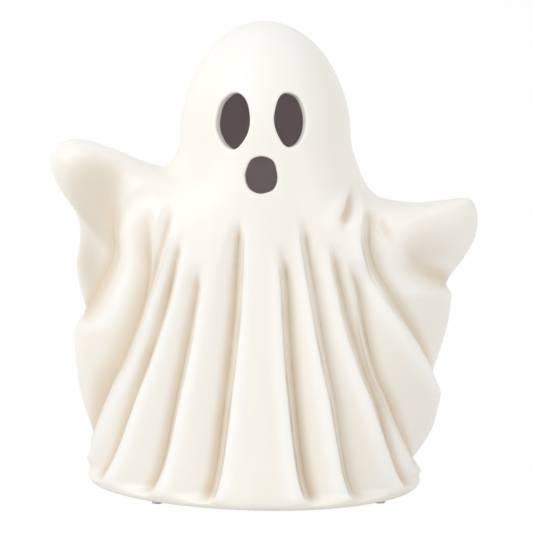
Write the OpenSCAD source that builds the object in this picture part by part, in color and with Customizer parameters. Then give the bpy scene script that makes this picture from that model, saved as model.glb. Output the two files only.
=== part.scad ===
// Hollow ceramic sheet ghost with cut eyes and mouth, standing over a battery light.
// The ghost faces -Y, its right hand side is +X, and the pads stand on z = 0.

/* [Ghost] */
// Height of the ceramic figure
ghost_h = 215; // [190:5:260]
// Distance from hand tip to hand tip
ghost_w = 196; // [186:2:240]
// Depth of the hem from front to back
ghost_d = 120; // [116:2:150]
// Thickness of the cast wall
wall = 4.5; // [3.5:0.5:5.5]

/* [Folds] */
// Depth of the deepest fold at the hem
fold_depth = 6; // [3:0.5:7]
// Width of the soft flank of the widest fold
fold_width = 14; // [9:1:16]
// Depth of the hollow pressed into the raised hand
palm_depth = 6; // [2:0.5:7]
// Inset of the rounded hem where it turns under
hem_round = 3; // [1.5:0.5:5]

/* [Face] */
// Width of an eye hole
eye_w = 15; // [9:1:17]
// Height of an eye hole
eye_h = 25; // [16:1:30]
// Width of the mouth hole
mouth_w = 14.5; // [9:0.5:18]
// Height of the mouth hole
mouth_h = 18; // [12:1:22]

/* [Foot] */
// Width of the flat foot ring under the hem
foot_w = 5; // [4:0.5:6]
// Height of the recess inside the foot ring
recess_h = 6; // [5.5:0.5:9]
// Thickness of the ceramic floor
floor_t = 4.5; // [3.5:0.5:7]
// Diameter of a foot pad
pad_d = 5; // [4:0.5:6]
// Thickness of a foot pad
pad_t = 1; // [0.6:0.2:2]

/* [Light housing] */
// Outer diameter of the tub that passes through the floor
tub_d = 68; // [66:1:70]
// Width of the flange beyond the tub, under the floor
flange_lip = 5; // [4:0.5:6]
// Thickness of the flange plate
plate_t = 2.6; // [2.4:0.1:3]
// Height of the tub above the flange plate
tub_h = 19; // [18.5:0.5:26]
// Wall thickness of the moulded tub
tub_wall = 1.8; // [1.4:0.1:2.2]
// Thickness of the tub cover
cover_t = 1.8; // [1.4:0.1:3]
// Thickness of the sealant bead over the flange
bead_t = 0.6; // [0.4:0.1:1]

/* [Batteries] */
// Diameter of a battery
cell_d = 10.5; // [10.5:0.1:10.8]
// Length of a battery can
cell_l = 43.5; // [42:0.5:44]
// Thickness of the battery door
door_t = 2; // [1.8:0.1:2.2]
// Diameter of the door pins
pin_d = 1.4; // [1.2:0.1:1.5]

/* [Lamp] */
// Diameter of the lamp lens
lens_d = 5; // [4:0.5:6]
// Height of the lamp lens
lens_h = 8.6; // [7:0.2:10]
// Outer diameter of the frosted diffuser
diffuser_d = 18; // [15:1:24]
// Height of the diffuser above the cover
diffuser_h = 26; // [20:1:40]

/* [Switch] */
// Travel of the switch knob over its three places
switch_travel = 4; // [3:0.5:5]
// Width of the switch knob along its travel
knob_w = 2.5; // [2:0.5:3]

/* [Hidden] */

// Colours
glaze = [0.95, 0.93, 0.88];
white_plastic = [0.9, 0.9, 0.87];
steel = [0.72, 0.73, 0.75];

// Drape grid: columns round the figure and rings of the head dome
columns = 120;
dome_rings = 7;
cavity_step = 2;
// Rings between the last ring of the cavity wall and the hem
floor_rings = 3;

// Head dome: half width on each side, half depth and height, as shares of the figure
head_left_share = 0.395;
head_right_share = 0.408;
head_front_share = 0.655;
head_base_share = 0.741;

// Rings from the neck to the hem. Out shares are of the half width, up shares of the height
// and the front share of the half depth. Each row holds the left edge out and up, the left bell,
// the right edge out and up, the right bell, then the front out and up.
ring_shares = [
    [0.433, 0.702, 0.429, 0.441, 0.691, 0.441, 0.672, 0.698],
    [0.488, 0.688, 0.474, 0.482, 0.650, 0.478, 0.690, 0.662],
    [0.594, 0.704, 0.536, 0.546, 0.622, 0.531, 0.708, 0.630],
    [0.706, 0.727, 0.597, 0.647, 0.612, 0.587, 0.723, 0.603],
    [0.818, 0.744, 0.653, 0.765, 0.610, 0.638, 0.738, 0.579],
    [0.918, 0.747, 0.704, 0.880, 0.617, 0.684, 0.752, 0.556],
    [0.988, 0.722, 0.745, 0.966, 0.620, 0.719, 0.763, 0.535],
    [0.994, 0.685, 0.776, 1.000, 0.587, 0.750, 0.775, 0.514],
    [0.953, 0.640, 0.801, 0.990, 0.539, 0.770, 0.785, 0.492],
    [0.880, 0.590, 0.818, 0.938, 0.495, 0.786, 0.795, 0.466],
    [0.864, 0.541, 0.830, 0.903, 0.454, 0.796, 0.807, 0.436],
    [0.880, 0.484, 0.845, 0.880, 0.406, 0.802, 0.822, 0.399],
    [0.888, 0.424, 0.857, 0.870, 0.354, 0.806, 0.840, 0.358],
    [0.892, 0.373, 0.863, 0.861, 0.297, 0.806, 0.858, 0.317],
    [0.895, 0.310, 0.867, 0.851, 0.244, 0.806, 0.877, 0.271],
    [0.889, 0.259, 0.865, 0.838, 0.202, 0.804, 0.897, 0.226],
    [0.874, 0.200, 0.858, 0.811, 0.149, 0.787, 0.920, 0.174],
    [0.860, 0.138, 0.847, 0.785, 0.100, 0.771, 0.947, 0.120],
    [0.851, 0.082, 0.842, 0.763, 0.058, 0.757, 0.973, 0.069],
    [0.850, 0.038, 0.842, 0.754, 0.028, 0.752, 0.993, 0.032],
    [0.842, 0.014, 0.836, 0.742, 0.012, 0.742, 0.997, 0.010]];

// Folds: where each starts and ends as shares of the way from crown to hem, four angles that it
// passes, its depth, steep flank and soft flank as shares of the fold sizes, the side of the steep
// flank, how soon it fades in and out, and 1 where the back repeats it.
// Angles run from the right hand (0) over the front (90) to the raised left hand (180).
fold_shares = [
    [0.443, 0.773, [150.5, 148.5, 153, 184], 0.90, 0.62, 1.40, -1, 0.35, 0.10, 1],
    [0.400, 0.970, [138, 131.5, 141, 190], 0.90, 0.30, 1.60, -1, 0.30, 0.12, 1],
    [0.379, 0.804, [134, 127, 131, 143], 0.65, 0.20, 0.60, -1, 0.25, 0.30, 0],
    [0.471, 1.000, [121.5, 122.5, 134.5, 165], 0.98, 0.22, 1.35, -1, 0.15, 0.07, 1],
    [0.536, 1.000, [112, 113.5, 120, 133], 0.95, 0.20, 1.30, -1, 0.20, 0.08, 1],
    [0.379, 1.000, [101, 99, 101.5, 109.5], 1.00, 0.22, 1.25, -1, 0.14, 0.06, 1],
    [0.450, 1.000, [84, 82, 79.5, 70.5], 0.96, 0.24, 1.30, 1, 0.25, 0.07, 1],
    [0.379, 1.000, [71.5, 73, 66.5, 52], 1.00, 0.26, 1.35, 1, 0.15, 0.06, 1],
    [0.471, 1.000, [63.5, 62, 48.5, 17], 0.95, 0.26, 1.45, 1, 0.18, 0.07, 1],
    [0.530, 0.970, [62, 54.5, 41.5, -8], 1.10, 0.28, 1.80, 1, 0.20, 0.10, 1],
    [0.350, 0.828, [24, 48.5, 38.5, -6], 1.05, 0.36, 1.70, 1, 0.15, 0.10, 1],
    [0.479, 0.675, [38, 36, 27, -10], 0.60, 0.34, 1.10, 1, 0.80, 0.12, 1],
    [0.290, 0.455, [18, 37, 50, 57], 0.60, 0.22, 0.50, 1, 0.40, 0.40, 0],
    [0.380, 0.570, [23, 37, 41.5, 41], 0.40, 0.20, 0.45, 1, 0.40, 0.45, 0]];

// Hollow of the raised hand: its angle and its share of the way down
palm_angle = 152;
palm_way_share = 0.486;
palm_size = 17;

// Fold growth from its start to the hem
depth_start_share = 0.6;
steep_start_share = 0.8;
soft_start_share = 0.18;
width_end_share = 1.1;
soft_power = 0.8;
// A fold narrows to this share of its width where it closes
closed_share = 0.5;
blend_power = 3;
rate_share = 0.01;
// A flank spans at least this many steps of the drape grid, so that a narrow fold stays smooth
least_steps = 1.6;
// The hem is swept back at both sides, and its raised side stands back from the other
hem_sweep = 5;
hem_skew_share = 0.08;
sweep_power = 3;
// How fast the hands taper towards the front
hand_power = 5;
// How fast the ridge of an arm falls off towards the front
ridge_power = 3.6;

half_w = ghost_w / 2;
half_d = ghost_d / 2;
table_rings = len(ring_shares);
last_ring = dome_rings + table_rings;

// Cut faces overrun by this much, and parts in one body stand this far apart
over = 1;
seat_gap = 0.1;
// Gap round a part that moves, and radial gap of a pin in its bore
move_gap = 0.3;
pin_gap = 0.05;

// Heights of the foot, floor and light housing over the surface
foot_z = pad_t;
floor_z = foot_z + recess_h;
floor_top = floor_z + floor_t;
plate_top = floor_z - bead_t;
plate_z = plate_top - plate_t;
tub_top = plate_top + tub_h;
cover_top = tub_top + cover_t;
flange_d = tub_d + 2 * flange_lip;
bore_gap = 1;
bead_inset = 0.8;

// Eye and mouth places on the head
eye_up_share = 0.808;
mouth_up_share = 0.697;
eye_spread = 26.6;
face_shift = -0.7;
eye_leans = [5, -2];
egg_taper = 0.08;
mouth_taper = -0.06;
hole_points = 40;

// Battery bay: three cells side by side with plates and a spring at their ends
cells = 3;
cell_gap = 0.36;
cell_pitch = cell_d + cell_gap;
nub_d = 3.8;
nub_h = 1;
crimp = 0.6;
blade_t = 0.4;
blade_w = 8;
blade_h = 8;
spring_l = 3.4;
spring_wire = 0.6;
spring_big = 7;
spring_small = 4;
spring_turns = 4;
bay_wall = 1.2;
bay_w = cells * cell_pitch + 2 * seat_gap;
bay_l = 2 * blade_t + spring_l + cell_l + nub_h + 4 * seat_gap;
door_z = plate_z;
cell_z = door_z + door_t + move_gap + cell_d / 2;
bay_top = cell_z + cell_d / 2 + move_gap;
ceiling_top = bay_top + bay_wall;

// Screws: cover, board and switch
boss_d = 6;
boss_places_shares = [[-0.86, 0], [0.7, 0.52], [0.7, -0.52]];
screw_d = 2.2;
screw_l = 7;
head_d = 4.2;
head_h = 1.6;
small_screw_d = 1.7;
small_head_d = 3;
small_head_h = 1.1;
small_screw_l = 1.8;

// Circuit board over the battery bay
board_w = 32;
board_l = 24;
board_t = 1.2;
post_h = 1;
post_d = 4;
post_x = 12;
board_z = ceiling_top + post_h;
board_top = board_z + board_t;
chip_w = 3.9;
chip_l = 4.9;
chip_h = 1.5;
chip_x = 7.5;
chip_y = 6.5;
leg_w = 0.4;
leg_reach = 1;
legs_per_side = 4;
leg_pitch = 1.27;
can_d = 4;
can_h = 4.2;
can_x = 7;
can_y = -7;
resistor_d = 1.8;
resistor_l = 4.5;
resistor_x = -7;
resistor_y = 6.5;
lead_d = 0.5;
lead_span = 8;

// Lamp
lens_rim_d = 5.8;
lens_rim_h = 1;
lead_pitch = 2.54;
lens_gap = 0.3;
diffuser_wall = 1.2;
spigot_h = 2;
spigot_wall = 1.2;

// Switch, midway between the battery bay and the tub wall beside its ears
switch_w = 5.5;
switch_l = 12.5;
switch_h = 4.8;
ear_l = 20;
switch_x = (bay_w / 2 + bay_wall + sqrt(pow(tub_d / 2 - tub_wall, 2) - pow(ear_l / 2, 2))) / 2;
ear_t = 0.6;
ear_screw = 8;
slide_base_l = 5;
slide_base_w = 3.4;
slide_base_h = 1.2;
knob_depth = 2.4;
knob_proud = 1.2;
shell_t = 0.8;
tag_w = 1;
tag_t = 0.4;
tag_h = 2;
tag_pitch = 3;

// Wires
wire_d = 1.2;
wire_sides = 8;
wire_steps = 12;
wire_bow = 2.4;

// Draped skin of the figure

function ease(low, high, x) =
    high <= low ? 1 : let (t = min(1, max(0, (x - low) / (high - low)))) t * t * (3 - 2 * t);

function wrap(angle) = angle > 180 ? angle - 360 : angle < -180 ? angle + 360 : angle;

// Smooth path through four angles that are evenly spaced along a fold
function path_angle(a, f) =
    let (p = 3 * f)
    (-a[0] * (p - 1) * (p - 2) * (p - 3) + 3 * a[1] * p * (p - 2) * (p - 3)
        - 3 * a[2] * p * (p - 1) * (p - 3) + a[3] * p * (p - 1) * (p - 2)) / 6;

// Each ring holds: left out, left up, left bell, right out, right up, right bell, front out, front up
function dome_ring(i) =
    let (a = 90 * i / dome_rings,
        up = ghost_h * (head_base_share + (1 - head_base_share) * cos(a)),
        left = half_w * head_left_share * sin(a),
        right = half_w * head_right_share * sin(a))
    [left, up, left, right, up, right, half_d * head_front_share * sin(a), up];

function table_ring(r) =
    [r[0] * half_w, r[1] * ghost_h, r[2] * half_w, r[3] * half_w, r[4] * ghost_h, r[5] * half_w,
        r[6] * half_d, r[7] * ghost_h];

rings = [for (i = [0 : dome_rings]) dome_ring(i), for (r = ring_shares) table_ring(r)];

// Depth that a fold takes off the skin at an angle u: metric is the length of a degree there, and
// drop the height of a ring, which turn the gap along the ring into one square to the fold
function fold_cut(fold, u, way, metric, drop) =
    let (f = (way - fold[0]) / (fold[1] - fold[0]))
    f < 0 || f > 1 ? 0 :
    let (rate = (path_angle(fold[2], f + rate_share) - path_angle(fold[2], f - rate_share))
            / (2 * rate_share * (fold[1] - fold[0]) * last_ring),
        slant = rate * metric / drop,
        side = wrap(u - path_angle(fold[2], f)) * metric * fold[6] / sqrt(1 + slant * slant),
        grown = sqrt(f),
        closing = ease(0, fold[8], 1 - f),
        steep = fold[4] * (steep_start_share + (width_end_share - steep_start_share) * grown),
        soft = fold[5] * (soft_start_share + (width_end_share - soft_start_share) * pow(f, soft_power)),
        step = max(metric * 360 / columns, drop * abs(slant)) / sqrt(1 + slant * slant),
        flank = max(least_steps * step,
            fold_width * (side > 0 ? steep : soft) * (closed_share + (1 - closed_share) * closing)),
        q = abs(side) / flank)
    q >= 1 ? 0 :
    fold_depth * fold[3] * (depth_start_share + (1 - depth_start_share) * grown)
        * (side > 0 ? pow(1 - q * q, 2) : pow(1 - q, 1.5) * (1 + q / 2))
        * ease(0, fold[7], f) * closing;

function front_up(way) =
    let (p = way * last_ring, i = floor(p), f = p - i)
    rings[i][7] * (1 - f) + rings[min(i + 1, last_ring)][7] * f;

function palm_cut(u, up, metric) =
    let (across = wrap(u - palm_angle) * metric / palm_size,
        along = (up - front_up(palm_way_share)) / palm_size,
        q = across * across + along * along)
    q >= 1 ? 0 : palm_depth * pow(1 - q, 2);

function total(list, i = 0) = i >= len(list) ? 0 : list[i] + total(list, i + 1);

function skin_cut(i, u) =
    let (way = i / last_ring,
        ring = rings[i],
        bell = cos(u) > 0 ? ring[5] : ring[2],
        metric = norm([bell * sin(u), ring[6] * cos(u)]) * PI / 180,
        drop = (rings[max(0, i - 1)][7] - rings[min(last_ring, i + 1)][7]) / 2,
        cuts = [for (fold = fold_shares) each [
            pow(fold_cut(fold, u, way, metric, drop), blend_power),
            fold[9] * pow(fold_cut(fold, 360 - u, way, metric, drop), blend_power)]])
    pow(total(cuts), 1 / blend_power)
        + palm_cut(u, ring[7], metric) + palm_cut(360 - u, ring[7], metric);

// Point of the draped skin on ring i at angle u, with a cut taken off it
function skin_point(i, u, cut) =
    let (r = rings[i],
        c = cos(u),
        s = sin(u),
        edge = c > 0 ? r[3] : r[0],
        up = c > 0 ? r[4] : r[1],
        bell = c > 0 ? r[5] : r[2],
        out = bell + (edge - bell) * pow(abs(c), hand_power),
        turn = [c * r[6], -s * bell],
        back = pow(1 - r[7] / ghost_h, sweep_power) * (hem_sweep * c * c - hem_skew_share * out * c),
        inward = cut > 0 ? cut / norm(turn) : 0)
    [out * c - turn[0] * inward, back - r[6] * s - turn[1] * inward,
        r[7] + (up - r[7]) * pow(abs(c), ridge_power)];

function column_angle(j) = 360 * j / columns;
function around(j) = (j + columns) % columns;

// Direction out of the skin, from neighbours wide enough to pass over the folds
smooth_columns = 3;
function skin_out(grid, i, j) =
    let (along = grid[i][around(j + smooth_columns)] - grid[i][around(j - smooth_columns)],
        down = grid[i + 1][j] - grid[i - 1][j],
        n = cross(along, down))
    n / norm(n);

// Closed solid from a top point, rings of equal length and a bottom point. The squares are split
// along the way that the folds lean in each quarter
module ringed_solid(top, grid, bottom) {
    count = len(grid[0]);
    last = len(grid) - 1;
    points = [top, for (ring = grid) each ring, bottom];
    end = len(points) - 1;
    polyhedron(points, [
        for (j = [0 : count - 1]) let (k = (j + 1) % count) each [
            [0, 1 + j, 1 + k],
            [end, 1 + last * count + k, 1 + last * count + j],
            for (i = [0 : last - 1]) let (a = 1 + i * count, b = a + count)
                each floor(4 * j / count) % 2 == 0
                    ? [[a + j, b + j, a + k], [b + j, b + k, a + k]]
                    : [[a + j, b + j, b + k], [a + j, b + k, a + k]]]]);
}

function inset_ring(ring, step, inset, z) =
    let (n = len(ring))
    [for (j = [0 : step : n - 1])
        let (along = ring[(j + smooth_columns) % n] - ring[(j - smooth_columns + n) % n],
            inward = [along[1], -along[0]] / norm([along[0], along[1]]))
        [ring[j][0] + inward[0] * inset, ring[j][1] + inward[1] * inset, z]];

module skin_body(grid) {
    hem = inset_ring(grid[last_ring], 1, hem_round, 0);
    ringed_solid(grid[0][0], [for (i = [1 : last_ring]) grid[i], hem], [0, 0, 0]);
}

// The cavity keeps one wall inside the deepest cut beside each of its points
module cavity_body(grid, cuts) {
    last = last_ring - floor_rings;
    inner = [for (i = [1 : last]) [for (j = [0 : cavity_step : columns - 1])
        let (deepest = max([for (k = [-1 : 1]) cuts[i][around(j + k)]]))
        skin_point(i, column_angle(j), deepest) - wall * skin_out(grid, i, j)]];
    floor_ring = [for (p = inner[last - 1]) [p[0], p[1], recess_h + floor_t]];
    ringed_solid([0, 0, ghost_h - wall], [each inner, floor_ring], [0, 0, recess_h + floor_t]);
}

// Egg outline, wider at the top for a positive taper
module egg(w, h, taper) {
    polygon([for (k = [0 : hole_points - 1]) let (t = 360 * k / hole_points)
        [w / 2 * cos(t) * (1 + taper * sin(t)), h / 2 * sin(t)]]);
}

// Hole cut square to the head at a place off the middle, w wide and h high
module face_hole(x, up, w, h, taper, lean) {
    half = half_w * (head_left_share + head_right_share) / 2;
    deep = half_d * head_front_share;
    rise = max(0, up - ghost_h * head_base_share) / (ghost_h * (1 - head_base_share));
    level = sqrt(1 - rise * rise);
    turn = asin(x / (half * level));
    tilt = atan(rise / level * deep / (ghost_h * (1 - head_base_share)));
    translate([x, -deep * level * cos(turn), up])
        rotate([0, 0, turn])
            rotate([90 - tilt, 0, 0])
                rotate([0, 0, -lean])
                    translate([0, 0, -2 * wall])
                        linear_extrude(4 * wall) egg(w, h, taper);
}

module ghost_shell() {
    cuts = [for (i = [0 : last_ring]) [for (j = [0 : columns - 1]) skin_cut(i, column_angle(j))]];
    grid = [for (i = [0 : last_ring])
        [for (j = [0 : columns - 1]) skin_point(i, column_angle(j), cuts[i][j])]];
    recess = inset_ring(grid[last_ring], cavity_step, hem_round + foot_w, 0);
    color(glaze)
        translate([0, 0, foot_z])
            difference() {
                skin_body(grid);
                cavity_body(grid, cuts);
                translate([0, 0, -over])
                    linear_extrude(recess_h + over) polygon([for (p = recess) [p[0], p[1]]]);
                cylinder(h = 2 * (recess_h + floor_t), d = tub_d + 2 * bore_gap, $fn = 96);
                for (side = [0, 1])
                    face_hole(face_shift + (side - 0.5) * eye_spread, ghost_h * eye_up_share,
                        eye_w, eye_h, egg_taper, eye_leans[side]);
                face_hole(face_shift, ghost_h * mouth_up_share, mouth_w, mouth_h, mouth_taper, 0);
            }
}

// Foot pads, one under each quarter of the foot ring
pad_angles = [40, 128, 220, 320];
module foot_pads() {
    hem = [for (j = [0 : columns - 1])
        skin_point(last_ring, column_angle(j), skin_cut(last_ring, column_angle(j)))];
    middle = inset_ring(hem, 1, hem_round + foot_w / 2, 0);
    color([0.85, 0.85, 0.82])
        for (angle = pad_angles)
            let (p = middle[round(angle * columns / 360)])
            translate([p[0], p[1], 0])
                cylinder(h = pad_t, d = pad_d, $fn = 32);
}

module ring_between(outer_d, inner_d, h) {
    difference() {
        cylinder(h = h, d = outer_d, $fn = 96);
        translate([0, 0, -over])
            cylinder(h = h + 2 * over, d = inner_d, $fn = 96);
    }
}

// Bead of sealant between the flange and the ceramic floor
module sealant_ring() {
    color([0.9, 0.9, 0.88, 0.8])
        translate([0, 0, plate_top])
            ring_between(flange_d - 2 * bead_inset, tub_d + 2 * (bore_gap + bead_inset), bead_t);
}

// Places that several pieces share
boss_places = [for (p = boss_places_shares) p * (tub_d / 2 - tub_wall)];
post_places = [[-post_x, 0], [post_x, 0]];
bay_end = bay_l / 2;
pin_y = -bay_end + move_gap + door_t / 2;
pin_z = door_z + door_t / 2;
pin_reach = 1.8;
lug_w = 4;
lug_rise = 1.4;
knob_start = -switch_travel / 2;
slot_low = [switch_x - knob_depth / 2 - move_gap, knob_start - knob_w / 2 - move_gap];
slot_high = [switch_x + knob_depth / 2 + move_gap, knob_start + switch_travel + knob_w / 2 + move_gap];

function cell_x(k) = (k - (cells - 1) / 2) * cell_pitch;
// Cells alternate: +1 has its nub towards +Y
function cell_way(k) = k % 2 == 0 ? 1 : -1;

module box_at(low, high) {
    translate(low)
        cube(high - low);
}

module light_housing() {
    color(white_plastic)
        difference() {
            union() {
                translate([0, 0, plate_z])
                    cylinder(h = plate_t, d = flange_d, $fn = 96);
                translate([0, 0, plate_z])
                    ring_between(tub_d, tub_d - 2 * tub_wall, plate_t + tub_h);
                intersection() {
                    translate([0, 0, plate_z])
                        cylinder(h = 2 * tub_h, d = tub_d - tub_wall, $fn = 96);
                    union() {
                        box_at([-bay_w / 2 - bay_wall, -bay_end - bay_wall, plate_z],
                            [bay_w / 2 + bay_wall, bay_end + bay_wall, ceiling_top]);
                        for (p = boss_places)
                            translate([p[0], p[1], plate_z])
                                cylinder(h = plate_t + tub_h, d = boss_d, $fn = 32);
                        for (side = [-1, 1])
                            let (lug_x = side * (bay_w + lug_w) / 2)
                                box_at([lug_x - lug_w / 2, pin_y - lug_w / 2, plate_z],
                                    [lug_x + lug_w / 2, pin_y + lug_w / 2, plate_top + lug_rise]);
                    }
                }
                for (p = post_places)
                    translate([p[0], p[1], ceiling_top])
                        cylinder(h = post_h, d = post_d, $fn = 32);
            }
            box_at([-bay_w / 2, -bay_end, plate_z - over], [bay_w / 2, bay_end, bay_top]);
            for (side = [-1, 1])
                translate([side * bay_w / 2, pin_y, pin_z])
                    rotate([0, 90 * side, 0])
                        cylinder(h = pin_reach + move_gap, d = pin_d + 2 * pin_gap, $fn = 32);
            for (p = boss_places)
                translate([p[0], p[1], tub_top - screw_l])
                    cylinder(h = screw_l + over, d = screw_d + 2 * pin_gap, $fn = 32);
            for (p = post_places)
                translate([p[0], p[1], board_z - small_screw_l])
                    cylinder(h = small_screw_l + over, d = small_screw_d + 2 * pin_gap, $fn = 24);
            for (k = [0, cells - 1])
                tab_slot(k);
            box_at([slot_low[0], slot_low[1], plate_z - over],
                [slot_high[0], slot_high[1], plate_top + over]);
            for (side = [-1, 1])
                translate([switch_x, side * ear_screw, plate_top - small_screw_l])
                    cylinder(h = small_screw_l + over, d = small_screw_d + 2 * pin_gap, $fn = 24);
        }
}

// Slot in the ceiling for the solder tab of an end plate: the first and last cell lead out
tab_w = 3;
tab_rise = 1.6;
function lead_side(k) = k == 0 ? cell_way(0) : -cell_way(k);
function lead_x(k) = cell_x(k) - sign(cell_x(k)) * (blade_w - tab_w) / 2;
module tab_slot(k) {
    y = lead_side(k) * (bay_end - blade_t / 2);
    box_at([lead_x(k) - tab_w / 2 - seat_gap, y - blade_t / 2 - seat_gap, bay_top - over],
        [lead_x(k) + tab_w / 2 + seat_gap, y + blade_t / 2 + seat_gap, ceiling_top + over]);
}

module pan_screw(d, l, head, rise) {
    difference() {
        union() {
            translate([0, 0, -l])
                cylinder(h = l, d = d, $fn = 32);
            rotate_extrude($fn = 48)
                polygon([[0, 0], [head / 2, 0], [head / 2, rise / 2], [head / 2 - rise / 4, rise * 0.85],
                    [head / 4, rise], [0, rise]]);
        }
        for (turn = [0, 90])
            rotate([0, 0, turn])
                box_at([-head / 3, -head / 14, rise / 2], [head / 3, head / 14, rise + over]);
    }
}

module housing_cover() {
    color(white_plastic)
        difference() {
            union() {
                translate([0, 0, tub_top])
                    cylinder(h = cover_t, d = tub_d, $fn = 96);
                translate([0, 0, tub_top])
                    ring_between(spigot_outer, spigot_outer - 2 * spigot_wall, cover_t + spigot_h);
            }
            translate([0, 0, tub_top - over])
                cylinder(h = cover_t + 2 * over, d = lens_d + 2 * lens_gap, $fn = 48);
            for (p = boss_places)
                translate([p[0], p[1], tub_top - over])
                    cylinder(h = cover_t + 2 * over, d = screw_d + 2 * move_gap, $fn = 32);
        }
}
spigot_outer = diffuser_d - 2 * diffuser_wall - 2 * seat_gap;

module cover_screws() {
    color(steel)
        for (p = boss_places)
            translate([p[0], p[1], cover_top])
                pan_screw(screw_d, screw_l, head_d, head_h);
}

// Door turned about its two end pins, with thumb ribs and a springy tongue at the free end
tongue_w = 9;
tongue_l = 9;
slit_w = 0.8;
rib_w = 0.8;
rib_h = 0.4;
ribs = 3;
module battery_door() {
    free_end = bay_end - move_gap;
    half = bay_w / 2 - move_gap;
    color(white_plastic) {
        difference() {
            union() {
                box_at([-half, pin_y, door_z], [half, free_end, door_z + door_t]);
                translate([-half, pin_y, pin_z])
                    rotate([0, 90, 0])
                        cylinder(h = 2 * half, d = door_t, $fn = 48);
                translate([-bay_w / 2 - pin_reach, pin_y, pin_z])
                    rotate([0, 90, 0])
                        cylinder(h = bay_w + 2 * pin_reach, d = pin_d, $fn = 32);
            }
            for (side = [-1, 1])
                box_at([side * tongue_w / 2 - slit_w / 2, free_end - tongue_l, door_z - over],
                    [side * tongue_w / 2 + slit_w / 2, free_end + over, door_z + door_t + over]);
            for (k = [0 : ribs])
                box_at([-tongue_w / 3, free_end - tongue_l + (2 * k + 1) * rib_w, door_z - over],
                    [tongue_w / 3, free_end - tongue_l + (2 * k + 2) * rib_w, door_z + rib_h]);
        }
    }
}

// One cell with its nub towards the given side
module cell(k) {
    way = cell_way(k);
    start = -way * (bay_end - seat_gap - blade_t - spring_l - seat_gap);
    color([0.25, 0.45, 0.35])
        translate([cell_x(k), start, cell_z])
            rotate([-90 * way, 0, 0])
                rotate_extrude($fn = 64)
                    polygon([[0, 0], [cell_d / 2 - 2 * crimp, 0], [cell_d / 2 - crimp / 2, crimp / 3],
                        [cell_d / 2, crimp], [cell_d / 2, cell_l - crimp],
                        [cell_d / 2 - crimp / 2, cell_l],
                        [nub_d / 2, cell_l], [nub_d / 2, cell_l + nub_h - crimp / 3],
                        [nub_d / 2 - crimp / 3, cell_l + nub_h], [0, cell_l + nub_h]]);
}
module battery_1() { cell(0); }
module battery_2() { cell(1); }
module battery_3() { cell(2); }

// Round wire through points, kept square to its path, which nowhere runs along beside
module wire_along(points, d, sides, beside) {
    last = len(points) - 1;
    sleeves = [for (i = [0 : last])
        let (ahead = points[min(last, i + 1)] - points[max(0, i - 1)],
            t = ahead / norm(ahead),
            across = cross(beside, t),
            p = across / norm(across),
            q = cross(t, p))
        [for (k = [0 : sides - 1])
            points[i] + d / 2 * (cos(360 * k / sides) * p + sin(360 * k / sides) * q)]];
    ringed_solid(points[0], sleeves, points[last]);
}

// Path that rises from one point, bows over and comes down on another
function bowed_path(from, to) =
    let (base = max(from[2], to[2]) + wire_d / 2)
    [from,
        for (a = [0 : 180 / wire_steps : 180])
            let (share = (1 - cos(a)) / 2)
            [from[0] + (to[0] - from[0]) * share, from[1] + (to[1] - from[1]) * share,
                base + wire_bow * sin(a)],
        to];

// Conical spring that presses on the flat end of each cell
spring_sides = 5;
spring_parts = 10;
module contact_springs() {
    color(steel)
        for (k = [0 : cells - 1]) {
            way = -cell_way(k);
            root = way * (bay_end - seat_gap - blade_t);
            run = spring_l - spring_wire;
            turns = [for (a = [0 : 1 / spring_parts : spring_turns])
                let (r = (spring_big + (spring_small - spring_big) * a / spring_turns - spring_wire) / 2)
                [cell_x(k) + r * cos(360 * a),
                    root - way * (spring_wire / 2 + run * a / spring_turns),
                    cell_z + r * sin(360 * a)]];
            wire_along(turns, spring_wire, spring_sides, [0, 1, 0]);
        }
}

// Plates behind the cells: two join neighbours and two lead out through the ceiling
module contact_plates() {
    middle = floor(cells / 2);
    color(steel)
        for (side = [-1, 1]) {
            inner = side * (bay_end - seat_gap - blade_t);
            outer = side * (bay_end - seat_gap);
            low_y = min(inner, outer);
            for (k = [0 : cells - 1])
                if (lead_side(k) == side && (k == 0 || k == cells - 1)) {
                    box_at([cell_x(k) - blade_w / 2, low_y, cell_z - blade_h / 2],
                        [cell_x(k) + blade_w / 2, low_y + blade_t, cell_z + blade_h / 2]);
                    box_at([lead_x(k) - tab_w / 2, low_y, cell_z],
                        [lead_x(k) + tab_w / 2, low_y + blade_t, ceiling_top + tab_rise]);
                }
            joined = side == lead_side(0) ? [middle, cells - 1] : [0, middle];
            box_at([cell_x(joined[0]) - blade_w / 2, low_y, cell_z - blade_h / 2],
                [cell_x(joined[1]) + blade_w / 2, low_y + blade_t, cell_z + blade_h / 2]);
        }
}

module circuit_board() {
    color([0.2, 0.42, 0.26])
        difference() {
            box_at([-board_w / 2, -board_l / 2, board_z], [board_w / 2, board_l / 2, board_top]);
            for (p = post_places)
                translate([p[0], p[1], board_z - over])
                    cylinder(h = board_t + 2 * over, d = small_screw_d + 2 * seat_gap, $fn = 24);
            for (side = [-1, 1])
                translate([side * lead_pitch / 2, 0, board_z - over])
                    cylinder(h = board_t + 2 * over, d = lead_d + 2 * pin_gap, $fn = 16);
        }
}

module board_screws() {
    color(steel)
        for (p = post_places)
            translate([p[0], p[1], board_top])
                pan_screw(small_screw_d, board_t + small_screw_l, small_head_d, small_head_h);
}

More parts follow.
